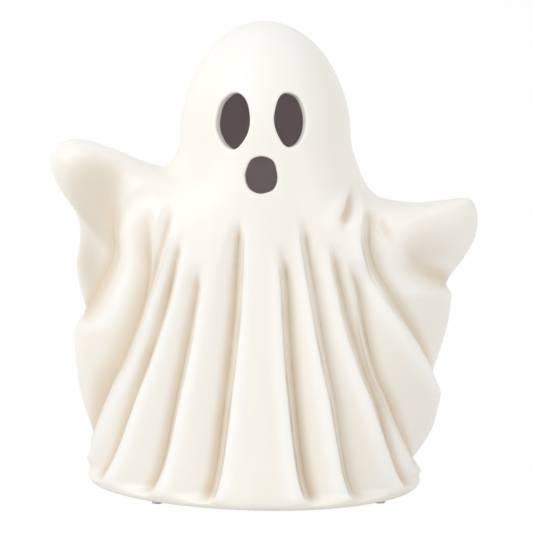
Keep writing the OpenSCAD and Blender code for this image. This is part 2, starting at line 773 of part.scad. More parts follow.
module timer_chip() {
    lift = chip_h / 6;
    translate([chip_x, chip_y, board_top]) {
        color([0.12, 0.12, 0.13])
            difference() {
                box_at([-chip_l / 2, -chip_w / 2, lift], [chip_l / 2, chip_w / 2, chip_h]);
                translate([-chip_l / 2 + chip_w / 6, -chip_w / 2 + chip_w / 6, chip_h - lift / 2])
                    cylinder(h = lift, d = chip_w / 8, $fn = 24);
            }
        color(steel)
            for (side = [-1, 1])
                for (k = [0 : legs_per_side - 1])
                    let (x = (k - (legs_per_side - 1) / 2) * leg_pitch,
                        y = side * (chip_w + leg_reach) / 2) {
                        box_at([x - leg_w / 2, y - leg_reach / 2, 0],
                            [x + leg_w / 2, y + leg_reach / 2, lift]);
                        box_at([x - leg_w / 2, side * chip_w / 2 - lift / 2, 0],
                            [x + leg_w / 2, side * chip_w / 2 + lift / 2, chip_h / 2]);
                    }
    }
}

// Resistor lying along X with its leads bent down to the board
module resistor() {
    r = resistor_d / 2;
    translate([resistor_x, resistor_y, board_top + r]) {
        color([0.8, 0.72, 0.55])
            rotate([0, 90, 0])
                rotate_extrude($fn = 32)
                    polygon([[0, -resistor_l / 2], [r * 0.8, -resistor_l / 2],
                        [r, -resistor_l / 2 + r / 3], [r, -resistor_l / 4],
                        [r * 0.86, -resistor_l / 5], [r * 0.86, resistor_l / 5],
                        [r, resistor_l / 4], [r, resistor_l / 2 - r / 3], [r * 0.8, resistor_l / 2],
                        [0, resistor_l / 2]]);
        color(steel) {
            rotate([0, 90, 0])
                translate([0, 0, -lead_span / 2])
                    cylinder(h = lead_span, d = lead_d, $fn = 16);
            for (side = [-1, 1])
                translate([side * (lead_span / 2 - lead_d / 2), 0, -r])
                    cylinder(h = r, d = lead_d, $fn = 16);
        }
    }
}

module capacitor() {
    color([0.22, 0.24, 0.3])
        translate([can_x, can_y, board_top])
            rotate_extrude($fn = 48)
                polygon([[0, 0], [can_d / 2, 0], [can_d / 2, can_h / 6],
                    [can_d / 2 - can_d / 20, can_h / 5], [can_d / 2, can_h / 4],
                    [can_d / 2, can_h - can_d / 12], [can_d / 2 - can_d / 12, can_h], [0, can_h]]);
}

module led_lens() {
    color([0.98, 0.94, 0.8, 0.7])
        translate([0, 0, tub_top - lens_rim_h])
            rotate_extrude($fn = 48)
                polygon([[0, 0], [lens_rim_d / 2, 0], [lens_rim_d / 2, lens_rim_h],
                    [lens_d / 2, lens_rim_h],
                    for (a = [0 : 10 : 80])
                        [lens_d / 2 * cos(a), lens_h - lens_d / 2 + lens_d / 2 * sin(a)],
                    [0, lens_h]]);
}

module led_leads() {
    color(steel)
        for (side = [-1, 1])
            translate([side * lead_pitch / 2, 0, board_z - post_h / 2])
                cylinder(h = tub_top - lens_rim_h - board_z + post_h / 2, d = lead_d, $fn = 16);
}

// Frosted cap over the lamp, with a rounded top
module light_diffuser() {
    r = diffuser_d / 2;
    dome_y = diffuser_h - r;
    inner = r - diffuser_wall;
    color([0.96, 0.96, 0.93, 0.7])
        translate([0, 0, cover_top])
            rotate_extrude($fn = 64)
                polygon([[inner, 0], [r, 0], for (a = [0 : 10 : 80]) [r * cos(a), dome_y + r * sin(a)],
                    [0, diffuser_h], [0, diffuser_h - diffuser_wall],
                    for (a = [80 : -10 : 0]) [inner * cos(a), dome_y + inner * sin(a)]]);
}

// Slide switch: a steel frame with two ears, standing on the housing plate
module switch_body() {
    room_l = slide_base_l + switch_travel + 2 * move_gap;
    room_w = slide_base_w + 2 * move_gap;
    mid = knob_start + switch_travel / 2;
    color(steel)
        difference() {
            union() {
                box_at([switch_x - switch_w / 2, -switch_l / 2, plate_top],
                    [switch_x + switch_w / 2, switch_l / 2, plate_top + switch_h]);
                box_at([switch_x - switch_w / 2, -ear_l / 2, plate_top],
                    [switch_x + switch_w / 2, ear_l / 2, plate_top + ear_t]);
                for (k = [-1 : 1])
                    box_at([switch_x - tag_w / 2, k * tag_pitch - tag_t / 2, plate_top + switch_h],
                        [switch_x + tag_w / 2, k * tag_pitch + tag_t / 2, plate_top + switch_h + tag_h]);
            }
            box_at([switch_x - room_w / 2, mid - room_l / 2, plate_top + shell_t],
                [switch_x + room_w / 2, mid + room_l / 2,
                    plate_top + shell_t + slide_base_h + 2 * move_gap]);
            box_at([slot_low[0], slot_low[1], plate_top - over],
                [slot_high[0], slot_high[1], plate_top + shell_t + slide_base_h]);
            for (side = [-1, 1])
                translate([switch_x, side * ear_screw, plate_top - over])
                    cylinder(h = ear_t + 2 * over, d = small_screw_d + 2 * seat_gap, $fn = 24);
        }
}

module switch_slider() {
    base_z = plate_top + shell_t + move_gap;
    low = plate_z - knob_proud;
    grip = knob_w / 5;
    color([0.1, 0.1, 0.11])
        difference() {
            union() {
                box_at([switch_x - slide_base_w / 2, knob_start - slide_base_l / 2, base_z],
                    [switch_x + slide_base_w / 2, knob_start + slide_base_l / 2, base_z + slide_base_h]);
                box_at([switch_x - knob_depth / 2, knob_start - knob_w / 2, low],
                    [switch_x + knob_depth / 2, knob_start + knob_w / 2, base_z + slide_base_h]);
            }
            for (side = [-1, 1])
                box_at([switch_x - knob_depth, knob_start + side * grip - grip / 3, low - over],
                    [switch_x + knob_depth, knob_start + side * grip + grip / 3, low + grip]);
        }
}

module switch_screws() {
    color(steel)
        for (side = [-1, 1])
            translate([switch_x, side * ear_screw, plate_top + ear_t])
                pan_screw(small_screw_d, ear_t + small_screw_l, small_head_d, small_head_h);
}

// Battery lead from a solder tab over to the board edge
module battery_wire(k) {
    side = lead_side(k);
    tab = [lead_x(k), side * (bay_end - seat_gap - blade_t / 2), ceiling_top + tab_rise + seat_gap];
    land = [lead_x(k), side * (board_l / 2 - wire_d), board_top + seat_gap];
    wire_along(bowed_path(tab, land), wire_d, wire_sides, [1, 0, 0]);
}

module red_wire() {
    color([0.7, 0.1, 0.08]) battery_wire(0);
}

module black_wire() {
    color([0.08, 0.08, 0.09]) battery_wire(cells - 1);
}

// Three leads from the switch tags to the board edge
module switch_wires() {
    color([0.85, 0.8, 0.2])
        for (k = [-1 : 1])
            wire_along(bowed_path([switch_x, k * tag_pitch, plate_top + switch_h + tag_h],
                [board_w / 2 - wire_d, k * tag_pitch, board_top + seat_gap]),
                wire_d, wire_sides, [0, 1, 0]);
}

ghost_shell();
foot_pads();
sealant_ring();
light_housing();
housing_cover();
cover_screws();
battery_door();
battery_1();
battery_2();
battery_3();
contact_springs();
contact_plates();
circuit_board();
board_screws();
timer_chip();
resistor();
capacitor();
led_lens();
led_leads();
light_diffuser();
switch_body();
switch_slider();
switch_screws();
red_wire();
black_wire();
switch_wires();
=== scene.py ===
import math

import bmesh
import bpy
import numpy as np
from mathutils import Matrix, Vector


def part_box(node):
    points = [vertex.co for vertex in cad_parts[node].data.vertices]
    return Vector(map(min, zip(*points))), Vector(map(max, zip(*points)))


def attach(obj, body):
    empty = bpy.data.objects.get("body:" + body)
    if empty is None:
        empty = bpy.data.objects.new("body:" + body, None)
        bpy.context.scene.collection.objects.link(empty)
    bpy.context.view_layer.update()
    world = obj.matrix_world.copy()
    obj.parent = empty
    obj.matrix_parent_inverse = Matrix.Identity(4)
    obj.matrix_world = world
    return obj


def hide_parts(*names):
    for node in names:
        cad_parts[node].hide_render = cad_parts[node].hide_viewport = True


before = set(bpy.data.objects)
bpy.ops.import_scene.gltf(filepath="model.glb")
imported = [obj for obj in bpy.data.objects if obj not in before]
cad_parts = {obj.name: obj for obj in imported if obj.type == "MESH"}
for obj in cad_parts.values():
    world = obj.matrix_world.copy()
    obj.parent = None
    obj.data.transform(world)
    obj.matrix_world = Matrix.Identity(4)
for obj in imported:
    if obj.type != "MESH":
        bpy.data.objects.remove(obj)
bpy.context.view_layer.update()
mm = 0.001


class Feed:  # one socket of a material, so that sums on it read as plain sums
    def __init__(self, tree, socket):
        self.tree, self.socket = tree, socket

    def node(self, kind, settings=None, values=None, take=0):
        made = self.tree.nodes.new("ShaderNode" + kind)
        for name, value in (settings or {}).items():
            setattr(made, name, value)
        for name, value in (values or {}).items():
            if isinstance(value, Feed):
                self.tree.links.new(value.socket, made.inputs[name])
            else:
                made.inputs[name].default_value = value
        return Feed(self.tree, made.outputs[take])

    def sum(self, operation, a, b=0.0):
        return self.node("Math", {"operation": operation}, {0: a, 1: b})

    def __add__(self, other):
        return self.sum("ADD", self, other)

    def __radd__(self, other):
        return self.sum("ADD", other, self)

    def __sub__(self, other):
        return self.sum("SUBTRACT", self, other)

    def __rsub__(self, other):
        return self.sum("SUBTRACT", other, self)

    def __mul__(self, other):
        return self.sum("MULTIPLY", self, other)

    def __rmul__(self, other):
        return self.sum("MULTIPLY", other, self)

    def __gt__(self, other):
        return self.sum("GREATER_THAN", self, other)

    def __lt__(self, other):
        return self.sum("LESS_THAN", self, other)

    def __abs__(self):
        return self.sum("ABSOLUTE", self)

    def atMost(self, limit):
        return self.sum("MINIMUM", self, limit)

    def between(self, low, high):
        return (self > low) * (self < high)

    def soft(self, low, high):  # 0 under low, 1 over high, with an eased middle
        return self.node("MapRange", {"interpolation_type": "SMOOTHSTEP"}, {0: self, 1: low, 2: high})

    def mixed(self, first, second):  # colours, this socket being the share of the second
        return self.node("Mix", {"data_type": "RGBA"}, {0: self, 6: first, 7: second}, 2)


def paint(r, g, b):
    return (r, g, b, 1.0)


def toned(colour, share, lift=0.0):  # a darker or greyer cast of a colour
    return paint(*[c * share + lift for c in colour[:3]])


class Finish:  # a material with one Principled shader
    def __init__(self, name, fixed=None):
        self.material = bpy.data.materials.new(name)
        self.material.use_nodes = True
        self.tree = self.material.node_tree
        self.shader = self.tree.nodes["Principled BSDF"]
        for socket, value in (fixed or {}).items():
            self.shader.inputs[socket].default_value = value
        start = self.tree.nodes.new("ShaderNodeTexCoord")
        self.place = Feed(self.tree, start.outputs["Object"])

    def noise(self, scale, detail=2.0, rough=0.5, place=None):
        return self.place.node("TexNoise", None, {
            "Vector": place or self.place, "Scale": scale, "Detail": detail, "Roughness": rough})

    def cells(self, scale):
        return self.place.node("TexVoronoi", None, {"Vector": self.place, "Scale": scale})

    def stretched(self, x, y, z):
        return self.place.node("Mapping", None, {"Vector": self.place, "Scale": (x, y, z)})

    def along(self, axis):
        return self.place.node("SeparateXYZ", None, {0: self.place}, axis)

    def painted(self, name):
        return self.place.node("Attribute", {"attribute_name": name}, None, 2)

    def feed(self, socket, value):
        self.tree.links.new(value.socket, self.shader.inputs[socket])

    def bump(self, height, strength, distance):
        self.feed("Normal", self.place.node("Bump", None, {
            "Height": height, "Strength": strength, "Distance": distance}))


ghost = {  # lengths in mm, angles in degrees, and shares of them
    "height": 215, "halfWidth": 98, "halfDepth": 60, "footZ": 1, "wall": 4.5, "lip": 0.9,
    "handPower": 5, "ridgePower": 3.6,  # the higher, the further out each hand and its top edge start
    "sweep": 5, "sweepPower": 3, "skew": 0.08,  # the hem's sides lie back, the raised hand's side more
    "palmDepth": 6, "palmAngle": 152, "palmWay": 0.486, "palmSize": 17, "palmShade": 0.35,  # a hand's hollow
    "rollHeight": 4.4, "rollInset": 3, "rollRows": 14, "rollSteps": (0.62, 0.34, 0.14, 0.0),  # the hem
    "footWidth": 5, "footEdge": 0.5, "footBevel": 0.35,
    "recess": 6, "recessBevel": 0.6, "ceilingSteps": (0.04, 0.5, 1.0), "floor": 4.5, "bore": 35,
    "aboveFloor": 3, "insideReach": 5,  # the inside starts over the floor, and minds cuts 5 columns off
    "domeRings": 7, "upperRings": 7, "domeBlend": (5.6, 7.0),  # the grid, in rings of the table
    "domeRows": 8, "upperRows": 8, "lowerRows": 6, "columns": 384,
    "frontCrowd": 1.5, "backCrowd": 0.9, "backShare": 0.60,  # how columns crowd at a fold
    "crowdPlace": 0.45, "crowdWidth": 0.75, "crowdLeast": 1.6, "crowdRows": 1.1,
    # a fold's cut and flanks, its thin line, its valley, its tan glaze and the lifted crest beside it
    "foldDepth": 6, "foldWidth": 14, "leastFlank": 1.7, "startDepth": 0.6, "closedWidth": 0.5,
    "steepStart": 0.8, "steepGain": 0.3, "softStart": 0.18, "softGain": 0.92, "softPower": 0.8,
    "creaseDepth": 0.20, "creaseWidth": 0.90, "creasePlace": 0.92, "creaseStart": 0.4,
    "valleyWidth": 0.9, "valleyShift": 0.2, "valleyShare": 0.75,
    "tanSteep": 0.95, "tanSoft": 0.40, "tanFar": 0.5, "tanLeast": 0.8, "tanMost": 4.4, "tanStart": 0.6,
    "crestRise": 0.7, "crestPlace": 2.4, "crestWidth": 2.3, "crestStart": 0.4,
    # a hole: the grid's block in it and the pull round that, its rounded lip and the cut behind it
    "blockShare": 0.86, "blockPull": 0.95, "blockReach": 1.1,
    "lipTurns": (25, 50, 70, 90), "boreSteps": (0.5, 0.93), "boreEnd": 0.96,
    "boreShare": 0.6, "boreRise": 0.35, "sharpAngle": 50,
}
domeShares = {"left": 0.395, "right": 0.408, "front": 0.655, "base": 0.741}
leftOut, leftUp, leftBell, rightOut, rightUp, rightBell, frontOut, frontUp = range(8)  # a ring's columns
ringShares = np.array([
    [0.433, 0.702, 0.429, 0.441, 0.691, 0.441, 0.672, 0.698],
    [0.488, 0.688, 0.474, 0.482, 0.650, 0.478, 0.690, 0.662],
    [0.594, 0.704, 0.536, 0.546, 0.622, 0.531, 0.708, 0.630],
    [0.706, 0.727, 0.597, 0.647, 0.612, 0.587, 0.723, 0.603],
    [0.818, 0.744, 0.653, 0.765, 0.610, 0.638, 0.738, 0.579],
    [0.918, 0.747, 0.704, 0.880, 0.617, 0.684, 0.752, 0.556],
    [0.988, 0.722, 0.745, 0.966, 0.620, 0.719, 0.763, 0.535],
    [0.994, 0.685, 0.776, 1.000, 0.587, 0.750, 0.775, 0.514],
    [0.953, 0.640, 0.801, 0.990, 0.539, 0.770, 0.785, 0.492],
    [0.880, 0.590, 0.818, 0.938, 0.495, 0.786, 0.795, 0.466],
    [0.864, 0.541, 0.830, 0.903, 0.454, 0.796, 0.807, 0.436],
    [0.880, 0.484, 0.845, 0.880, 0.406, 0.802, 0.822, 0.399],
    [0.888, 0.424, 0.857, 0.870, 0.354, 0.806, 0.840, 0.358],
    [0.892, 0.373, 0.863, 0.861, 0.297, 0.806, 0.858, 0.317],
    [0.895, 0.310, 0.867, 0.851, 0.244, 0.806, 0.877, 0.271],
    [0.889, 0.259, 0.865, 0.838, 0.202, 0.804, 0.897, 0.226],
    [0.874, 0.200, 0.858, 0.811, 0.149, 0.787, 0.920, 0.174],
    [0.860, 0.138, 0.847, 0.785, 0.100, 0.771, 0.947, 0.120],
    [0.851, 0.082, 0.842, 0.763, 0.058, 0.757, 0.973, 0.069],
    [0.850, 0.038, 0.842, 0.754, 0.028, 0.752, 0.993, 0.032],
    [0.842, 0.014, 0.836, 0.742, 0.012, 0.742, 0.997, 0.010]])
foldColumns = (  # path: four angles, evenly spaced from start to end
    "start", "end", "path", "depth", "steep", "soft", "steepSide", "fadeIn", "fadeOut", "onBack",
    "line", "tan", "tanSpread")
folds = [dict(zip(foldColumns, row)) for row in [
    [0.443, 0.773, [150.5, 148.5, 153, 184], 0.90, 0.62, 1.40, -1, 0.35, 0.10, 1, 0.0, 1.0, 0.45],
    [0.400, 0.970, [138, 131.5, 141, 190], 0.90, 0.30, 1.60, -1, 0.30, 0.12, 1, 0.6, 1.10, 0.9],
    [0.379, 0.804, [134, 127, 131, 143], 0.65, 0.20, 0.60, -1, 0.25, 0.30, 0, 0.6, 0.9, 0.3],
    [0.471, 1.000, [121.5, 122.5, 134.5, 165], 0.98, 0.22, 1.35, -1, 0.15, 0.07, 1, 0.7, 1.0, 0.15],
    [0.536, 1.000, [112, 113.5, 120, 133], 0.95, 0.20, 1.30, -1, 0.20, 0.08, 1, 0.8, 1.0, 0.15],
    [0.379, 1.000, [101, 99, 101.5, 109.5], 1.00, 0.22, 1.25, -1, 0.14, 0.06, 1, 1.0, 1.1, 0.15],
    [0.450, 1.000, [84, 82, 79.5, 70.5], 0.96, 0.24, 1.30, 1, 0.25, 0.07, 1, 1.0, 1.0, 0.1],
    [0.379, 1.000, [71.5, 73, 66.5, 52], 1.00, 0.26, 1.35, 1, 0.15, 0.06, 1, 1.0, 0.72, 0.0],
    [0.471, 1.000, [63.5, 62, 48.5, 17], 0.95, 0.26, 1.45, 1, 0.18, 0.07, 1, 0.9, 1.0, 0.15],
    [0.530, 0.970, [62, 54.5, 41.5, -8], 1.10, 0.28, 1.80, 1, 0.20, 0.10, 1, 0.9, 0.95, 0.05],
    [0.350, 0.828, [24, 48.5, 38.5, -6], 1.05, 0.36, 1.70, 1, 0.15, 0.10, 1, 1.1, 0.85, 0.0],
    [0.479, 0.675, [38, 36, 27, -10], 0.60, 0.34, 1.10, 1, 0.80, 0.12, 1, 0.2, 0.9, 0.2],
    [0.290, 0.455, [18, 37, 50, 57], 0.60, 0.22, 0.50, 1, 0.40, 0.40, 0, 1.3, 1.0, 0.1],
    [0.380, 0.570, [23, 37, 41.5, 41], 0.40, 0.20, 0.45, 1, 0.40, 0.45, 0, 0.6, 0.7, 0.1]]]
foldCopies = [(fold, mirrored) for fold in folds
              for mirrored in ((False, True) if fold["onBack"] else (False,))]
shadePools = [  # painted shade on and under the hands: angle, row, reach across and down in mm, share
    [156, 15.2, 10, 19, 1.1], [164, 18.9, 12, 14, 0.9], [-8, 14.6, 9, 12, 0.5], [32, 15.8, 12, 9, 0.5],
    [143, 13.5, 5, 16, 0.45]]
shadeRows = (7, 10)  # over these rows the painted shade fades in, below the crown
lastRing = ghost["domeRings"] + len(ringShares)
ringScale = np.array([ghost["halfWidth"], ghost["height"], ghost["halfWidth"], ghost["halfWidth"],
                      ghost["height"], ghost["halfWidth"], ghost["halfDepth"], ghost["height"]])


def eased(low, high, x):  # 0 up to low, 1 from high
    t = np.clip((x - low) / (high - low), 0, 1)
    return t * t * (3 - 2 * t)


def hump(x):  # 1 in the middle, next to nothing from 2 on
    return np.exp(-x ** 2)


def rising(start, grown):  # a share that starts small and ends at 1
    return start + (1 - start) * grown


def wrapped(angle):
    return (angle + 180) % 360 - 180


def onPath(a, share):  # smooth path through four evenly spaced angles
    p = 3 * share
    return (-a[0] * (p - 1) * (p - 2) * (p - 3) + 3 * a[1] * p * (p - 2) * (p - 3)
            - 3 * a[2] * p * (p - 1) * (p - 3) + a[3] * p * (p - 1) * (p - 2)) / 6


def domeRing(v):
    a = np.radians(90 * v / ghost["domeRings"])
    up = domeShares["base"] + (1 - domeShares["base"]) * np.cos(a)
    left, right, front = (domeShares[k] * np.sin(a) for k in ("left", "right", "front"))
    return np.stack([left, up, left, right, up, right, front, up], -1)


knots = np.concatenate([domeRing(np.arange(ghost["domeRings"] + 1)), ringShares])


def ringAt(v):  # the ring at any row: true dome above, smooth curve through the table below
    v = np.clip(np.asarray(v, float), 0, lastRing)
    i = np.clip(np.floor(v).astype(int), 0, lastRing - 1)
    f = (v - i)[..., None]
    a, b, c, d = (knots[np.clip(i + k, 0, lastRing)] for k in (-1, 0, 1, 2))
    curve = (2 * b + (c - a) * f + (2 * a - 5 * b + 4 * c - d) * f ** 2
             + (3 * b - a - 3 * c + d) * f ** 3) / 2
    dome = domeRing(v)
    share = eased(*ghost["domeBlend"], v)[..., None]
    return (dome * (1 - share) + curve * share) * ringScale


def scales(u, v, rings):  # millimetres along the ring per degree, and down it per row
    c, s = np.cos(np.radians(u)), np.sin(np.radians(u))
    bell = np.where(c > 0, rings[..., rightBell], rings[..., leftBell])
    drop = (ringAt(v - 1)[..., frontUp] - ringAt(v + 1)[..., frontUp]) / 2
    return np.hypot(bell * s, rings[..., frontOut] * c) * np.pi / 180, np.maximum(drop, 1.0)


# how far a point is from a fold's valley in mm, over 0 on the steep side; the steep flank's width, the
# fade at the ends, the soft flank's width, how grown the fold is there, and how much it slants
def foldFacts(fold, u, v, metric, drop, mirrored):
    d, path, length, step = ghost, fold["path"], fold["end"] - fold["start"], 0.01
    if mirrored:
        u = 360 - u
    f = (v / lastRing - fold["start"]) / length
    g = np.clip(f, 0, 1)
    rate = (onPath(path, g + step) - onPath(path, g - step)) / (2 * step * length * lastRing)
    slant = np.sqrt(1 + (rate * metric / drop) ** 2)
    side = wrapped(u - onPath(path, g)) * metric * fold["steepSide"] / slant
    grown = np.sqrt(g)
    closing = eased(0, fold["fadeOut"], 1 - f)
    narrowed = rising(d["closedWidth"], closing)
    steep = d["foldWidth"] * (d["steepStart"] + d["steepGain"] * grown) * narrowed * fold["steep"]
    soft = d["foldWidth"] * (d["softStart"] + d["softGain"] * g ** d["softPower"]) * narrowed * fold["soft"]
    fade = eased(0, fold["fadeIn"], f) * closing * (f >= 0) * (f <= 1.0001)
    return side, steep, fade, soft, grown, slant


# points of the draped skin, the way out from it, and its tints; deepest takes at each point the deepest
# cut of that many columns to either side, for the inside
def skin(u, v, withCuts=True, deepest=0):
    d = ghost
    u, v = np.broadcast_arrays(np.asarray(u, float), np.asarray(v, float))
    rings = ringAt(v)
    c, s = np.cos(np.radians(u)), np.sin(np.radians(u))
    edge, up, bell = (np.where(c > 0, rings[..., right], rings[..., left]) for right, left in (
        (rightOut, leftOut), (rightUp, leftUp), (rightBell, leftBell)))
    metric, drop = scales(u, v, rings)
    cubes, crease, hollow, valley, crest, palm, paintedShade = (np.zeros(u.shape) for k in range(7))
    for fold, mirrored in foldCopies:
        side, steep, fade, soft, grown, slant = foldFacts(fold, u, v, metric, drop, mirrored)
        q = np.clip(np.abs(side) / np.maximum(np.where(side > 0, steep, soft), d["leastFlank"]), 0, 1)
        deep = fold["depth"] * rising(d["startDepth"], grown) * fade
        shape = np.where(side > 0, (1 - q * q) ** 2, (1 - q) ** 1.5 * (1 + 0.5 * q))
        cubes += (d["foldDepth"] * deep * shape) ** 3
        brink = d["creasePlace"] * np.maximum(steep, d["leastFlank"])
        thin = hump((side - brink) / (d["creaseWidth"] * slant)) * fold["line"]
        crease = np.maximum(crease, thin * fade * rising(d["creaseStart"], grown) / slant ** 2)
        bottom = hump((side + d["valleyShift"]) / (d["valleyWidth"] * slant))
        valley = np.maximum(valley, bottom * deep / slant)
        softReach = np.clip(d["tanSoft"] * soft, d["tanLeast"], d["tanMost"])
        reach = np.where(side > 0, d["tanSteep"] * steep, softReach)
        near = hump(side / np.maximum(reach, d["tanLeast"]))
        far = hump(side / np.maximum(d["tanFar"] * soft, d["tanLeast"])) * (side < 0)
        tan = np.maximum(near, fold["tanSpread"] * far) * fade * rising(d["tanStart"], grown)
        hollow = np.maximum(hollow, tan * fold["tan"])
        beside = d["crestStart"] + grown
        lifted = hump((side - steep - d["crestPlace"] * beside) / (d["crestWidth"] * beside))
        crest = np.maximum(crest, lifted * fade * grown)
    palmUp = ringAt(np.array(d["palmWay"] * lastRing))[frontUp]
    for angle in (d["palmAngle"], 360 - d["palmAngle"]):
        q = (wrapped(u - angle) * metric / d["palmSize"]) ** 2 \
            + ((rings[..., frontUp] - palmUp) / d["palmSize"]) ** 2
        palm += np.clip(1 - q, 0, 1) ** 2
    # painted shade: darker patches in the palm hollows and under the hands, where shade falls
    for angle, row, across, along, share in shadePools:
        q = (wrapped(u - angle) * metric / across) ** 2 + ((v - row) * drop / along) ** 2
        paintedShade = np.maximum(paintedShade, share * np.exp(-q) * eased(*shadeRows, v))
    cut = np.cbrt(cubes) + d["palmDepth"] * palm
    if deepest:
        cut = np.max([np.roll(cut, k, 1) for k in range(-deepest, deepest + 1)], 0)
    else:
        cut = cut + d["creaseDepth"] * crease - d["crestRise"] * crest
    if not withCuts:
        cut = cut * 0
    out = bell + (edge - bell) * np.abs(c) ** d["handPower"]
    turn = np.stack([c * rings[..., frontOut], -s * bell], -1)
    turn = turn / np.maximum(np.linalg.norm(turn, axis=-1), 1e-6)[..., None]
    high = rings[..., frontUp] + (up - rings[..., frontUp]) * np.abs(c) ** d["ridgePower"]
    lowness = (1 - rings[..., frontUp] / d["height"]) ** d["sweepPower"]
    swept = lowness * (d["sweep"] * c * c - d["skew"] * out * c)
    flat = np.stack([out * c, swept - rings[..., frontOut] * s], -1) - turn * cut[..., None]
    points = np.concatenate([flat, high[..., None]], -1)
    return points, turn, {"crease": np.maximum(crease, d["valleyShare"] * valley), "crest": crest,
                          "hollow": hollow, "paintedShade": np.maximum(d["palmShade"] * palm, paintedShade)}


def columnAngles(rows):  # per row, columns crowd towards the folds; front and back middle stay put
    d, quarters = ghost, 720  # quarter degrees round half the figure
    fine = np.linspace(-90, 270, 2 * quarters + 1)
    angles, v = np.meshgrid((fine[1:] + fine[:-1]) / 2, rows)
    metric, drop = scales(angles, v, ringAt(rows)[:, None])
    weight = np.where(np.sin(np.radians(angles)) > 0, 1.0, d["backShare"])
    for fold, mirrored in foldCopies:
        side, steep, fade = foldFacts(fold, angles, v, metric, drop, mirrored)[:3]
        near = hump((side - d["crowdPlace"] * steep) / (d["crowdWidth"] * steep + d["crowdLeast"]))
        weight = weight + near * fade * d["backCrowd" if mirrored else "frontCrowd"]
    spread = hump(np.subtract.outer(rows, rows) / d["crowdRows"])
    weight = spread @ weight / spread.sum(1)[:, None]
    half, table = d["columns"] // 2, []
    for line in weight:
        turns = []
        for low in (0, quarters):
            run = np.concatenate([[0], np.cumsum(line[low:low + quarters])])
            turns.append(np.interp(np.arange(half) / half * run[-1], run, fine[low:low + quarters + 1]))
        table.append(np.concatenate(turns))
    return np.array(table)


holes = {  # place across and up, width, height, taper, lean in degrees; cut is the knife's unevenness:
    # waves round the hole, their size and their start
    "leftEye": {
        "x": -15.3, "z": 172.8, "w": 15.0, "h": 24.8, "taper": 0.06, "lean": 7,
        "cut": [(1, 0.180, 0.0), (2, 0.012, 0.6), (3, 0.022, 2.2), (5, 0.010, 0.4), (7, 0.007, 1.1)]},
    "rightEye": {
        "x": 11.8, "z": 173.1, "w": 14.4, "h": 24.2, "taper": 0.08, "lean": -4,
        "cut": [(2, 0.010, 2.0), (3, 0.020, 1.0), (5, 0.012, 2.9), (6, 0.008, 0.2)]},
    "mouth": {
        "x": -1.2, "z": 149.0, "w": 15.0, "h": 16.8, "taper": -0.02, "lean": 0,
        "cut": [(3, 0.014, 1.9), (4, 0.022, 3.1), (5, 0.012, 2.4), (8, 0.008, 0.5)]},
}


def holeEdge(hole, ex, ez, grow):  # the contour in a direction, grow mm outside the cut
    t = np.arctan2(ez, ex)
    uneven = 1 + sum(size * np.cos(turns * t + phase) for turns, size, phase in hole["cut"])
    x = (hole["w"] / 2 * np.cos(t) * (1 + hole["taper"] * np.sin(t))) * uneven + grow * np.cos(t)
    z = hole["h"] / 2 * np.sin(t) * uneven + grow * np.sin(t)
    lean = math.radians(-hole["lean"])
    return x * math.cos(lean) - z * math.sin(lean), x * math.sin(lean) + z * math.cos(lean)


def openHoles(u, v):  # moves the grid aside so that a block of it ends on each hole's edge
    d = ghost
    probe = np.linspace(0.02, 12, 1200)  # rows from the crown to below the mouth
    table = ringAt(probe)

    def bellAt(row, onRight):
        return np.where(onRight, *[np.interp(row, probe, table[:, k]) for k in (rightBell, leftBell)])

    def upAt(row):
        return np.interp(row, probe, table[:, frontUp])

    blocks = []
    for hole in holes.values():
        row = np.interp(-hole["z"], -table[:, frontUp], probe)
        bell = float(bellAt(row, hole["x"] > 0))
        angle = math.degrees(math.acos(hole["x"] / bell))
        ic = int(round(np.argmin(np.abs(v[:, 0] - row)) / 2)) * 2
        jc = int(round(np.argmin(np.abs(u[ic] - angle)) / 2)) * 2
        stepX = bell * math.radians(abs(u[ic, jc + 1] - u[ic, jc])) * math.sin(math.radians(angle))
        stepZ = abs(upAt(v[ic + 1, 0]) - upAt(v[ic, 0]))
        hj = 2 * round(hole["w"] * d["blockShare"] / stepX / 4)
        hi = 2 * round(hole["h"] * d["blockShare"] / stepZ / 4)
        blocks.append((ic, jc, hi, hj))
    rows, columns = np.meshgrid(np.arange(u.shape[0]), np.arange(u.shape[1]), indexing="ij")
    across = np.cos(np.radians(u))
    x0 = bellAt(v, across > 0) * across
    z0 = upAt(v)
    moves = []
    for hole, (ic, jc, hi, hj) in zip(holes.values(), blocks):
        di, dj = (rows - ic) / hi, -(columns - jc) / hj  # columns run towards -X on the front
        square = np.maximum(np.abs(di), np.abs(dj))
        wide = np.abs(dj) >= np.abs(di)
        slope = np.where(wide, di / np.maximum(np.abs(dj), 1e-6), dj / np.maximum(np.abs(di), 1e-6))
        turn = math.pi / 4 * slope
        ex = np.where(wide, np.sign(dj) * np.cos(turn), np.sin(turn))
        ez = np.where(wide, -np.sin(turn), -np.sign(di) * np.cos(turn))
        past = np.maximum(square - 1, 0)
        edgeX, edgeZ = holeEdge(hole, ex, ez, d["lip"])
        out = 1 + past * d["blockPull"]
        x = hole["x"] + edgeX * out
        z = hole["z"] + edgeZ * out
        keep = (1 - eased(0.0, d["blockReach"], past)) * (square < 1 + d["blockReach"])
        moves.append((x - x0, z - z0, keep, keep / (past + 0.002) ** 2))
    crowd = sum(weight for _, _, _, weight in moves) + 1e-12
    x = x0 + sum(moveX * keep * weight / crowd for moveX, _, keep, weight in moves)
    z = z0 + sum(moveZ * keep * weight / crowd for _, moveZ, keep, weight in moves)
    changed = sum(keep for _, _, keep, _ in moves) > 0
    newV = np.interp(-z, -table[:, frontUp], probe)
    newU = np.degrees(np.arccos(np.clip(x / bellAt(newV, x > 0), -1, 1)))
    return np.where(changed, newU, u), np.where(changed, newV, v), blocks


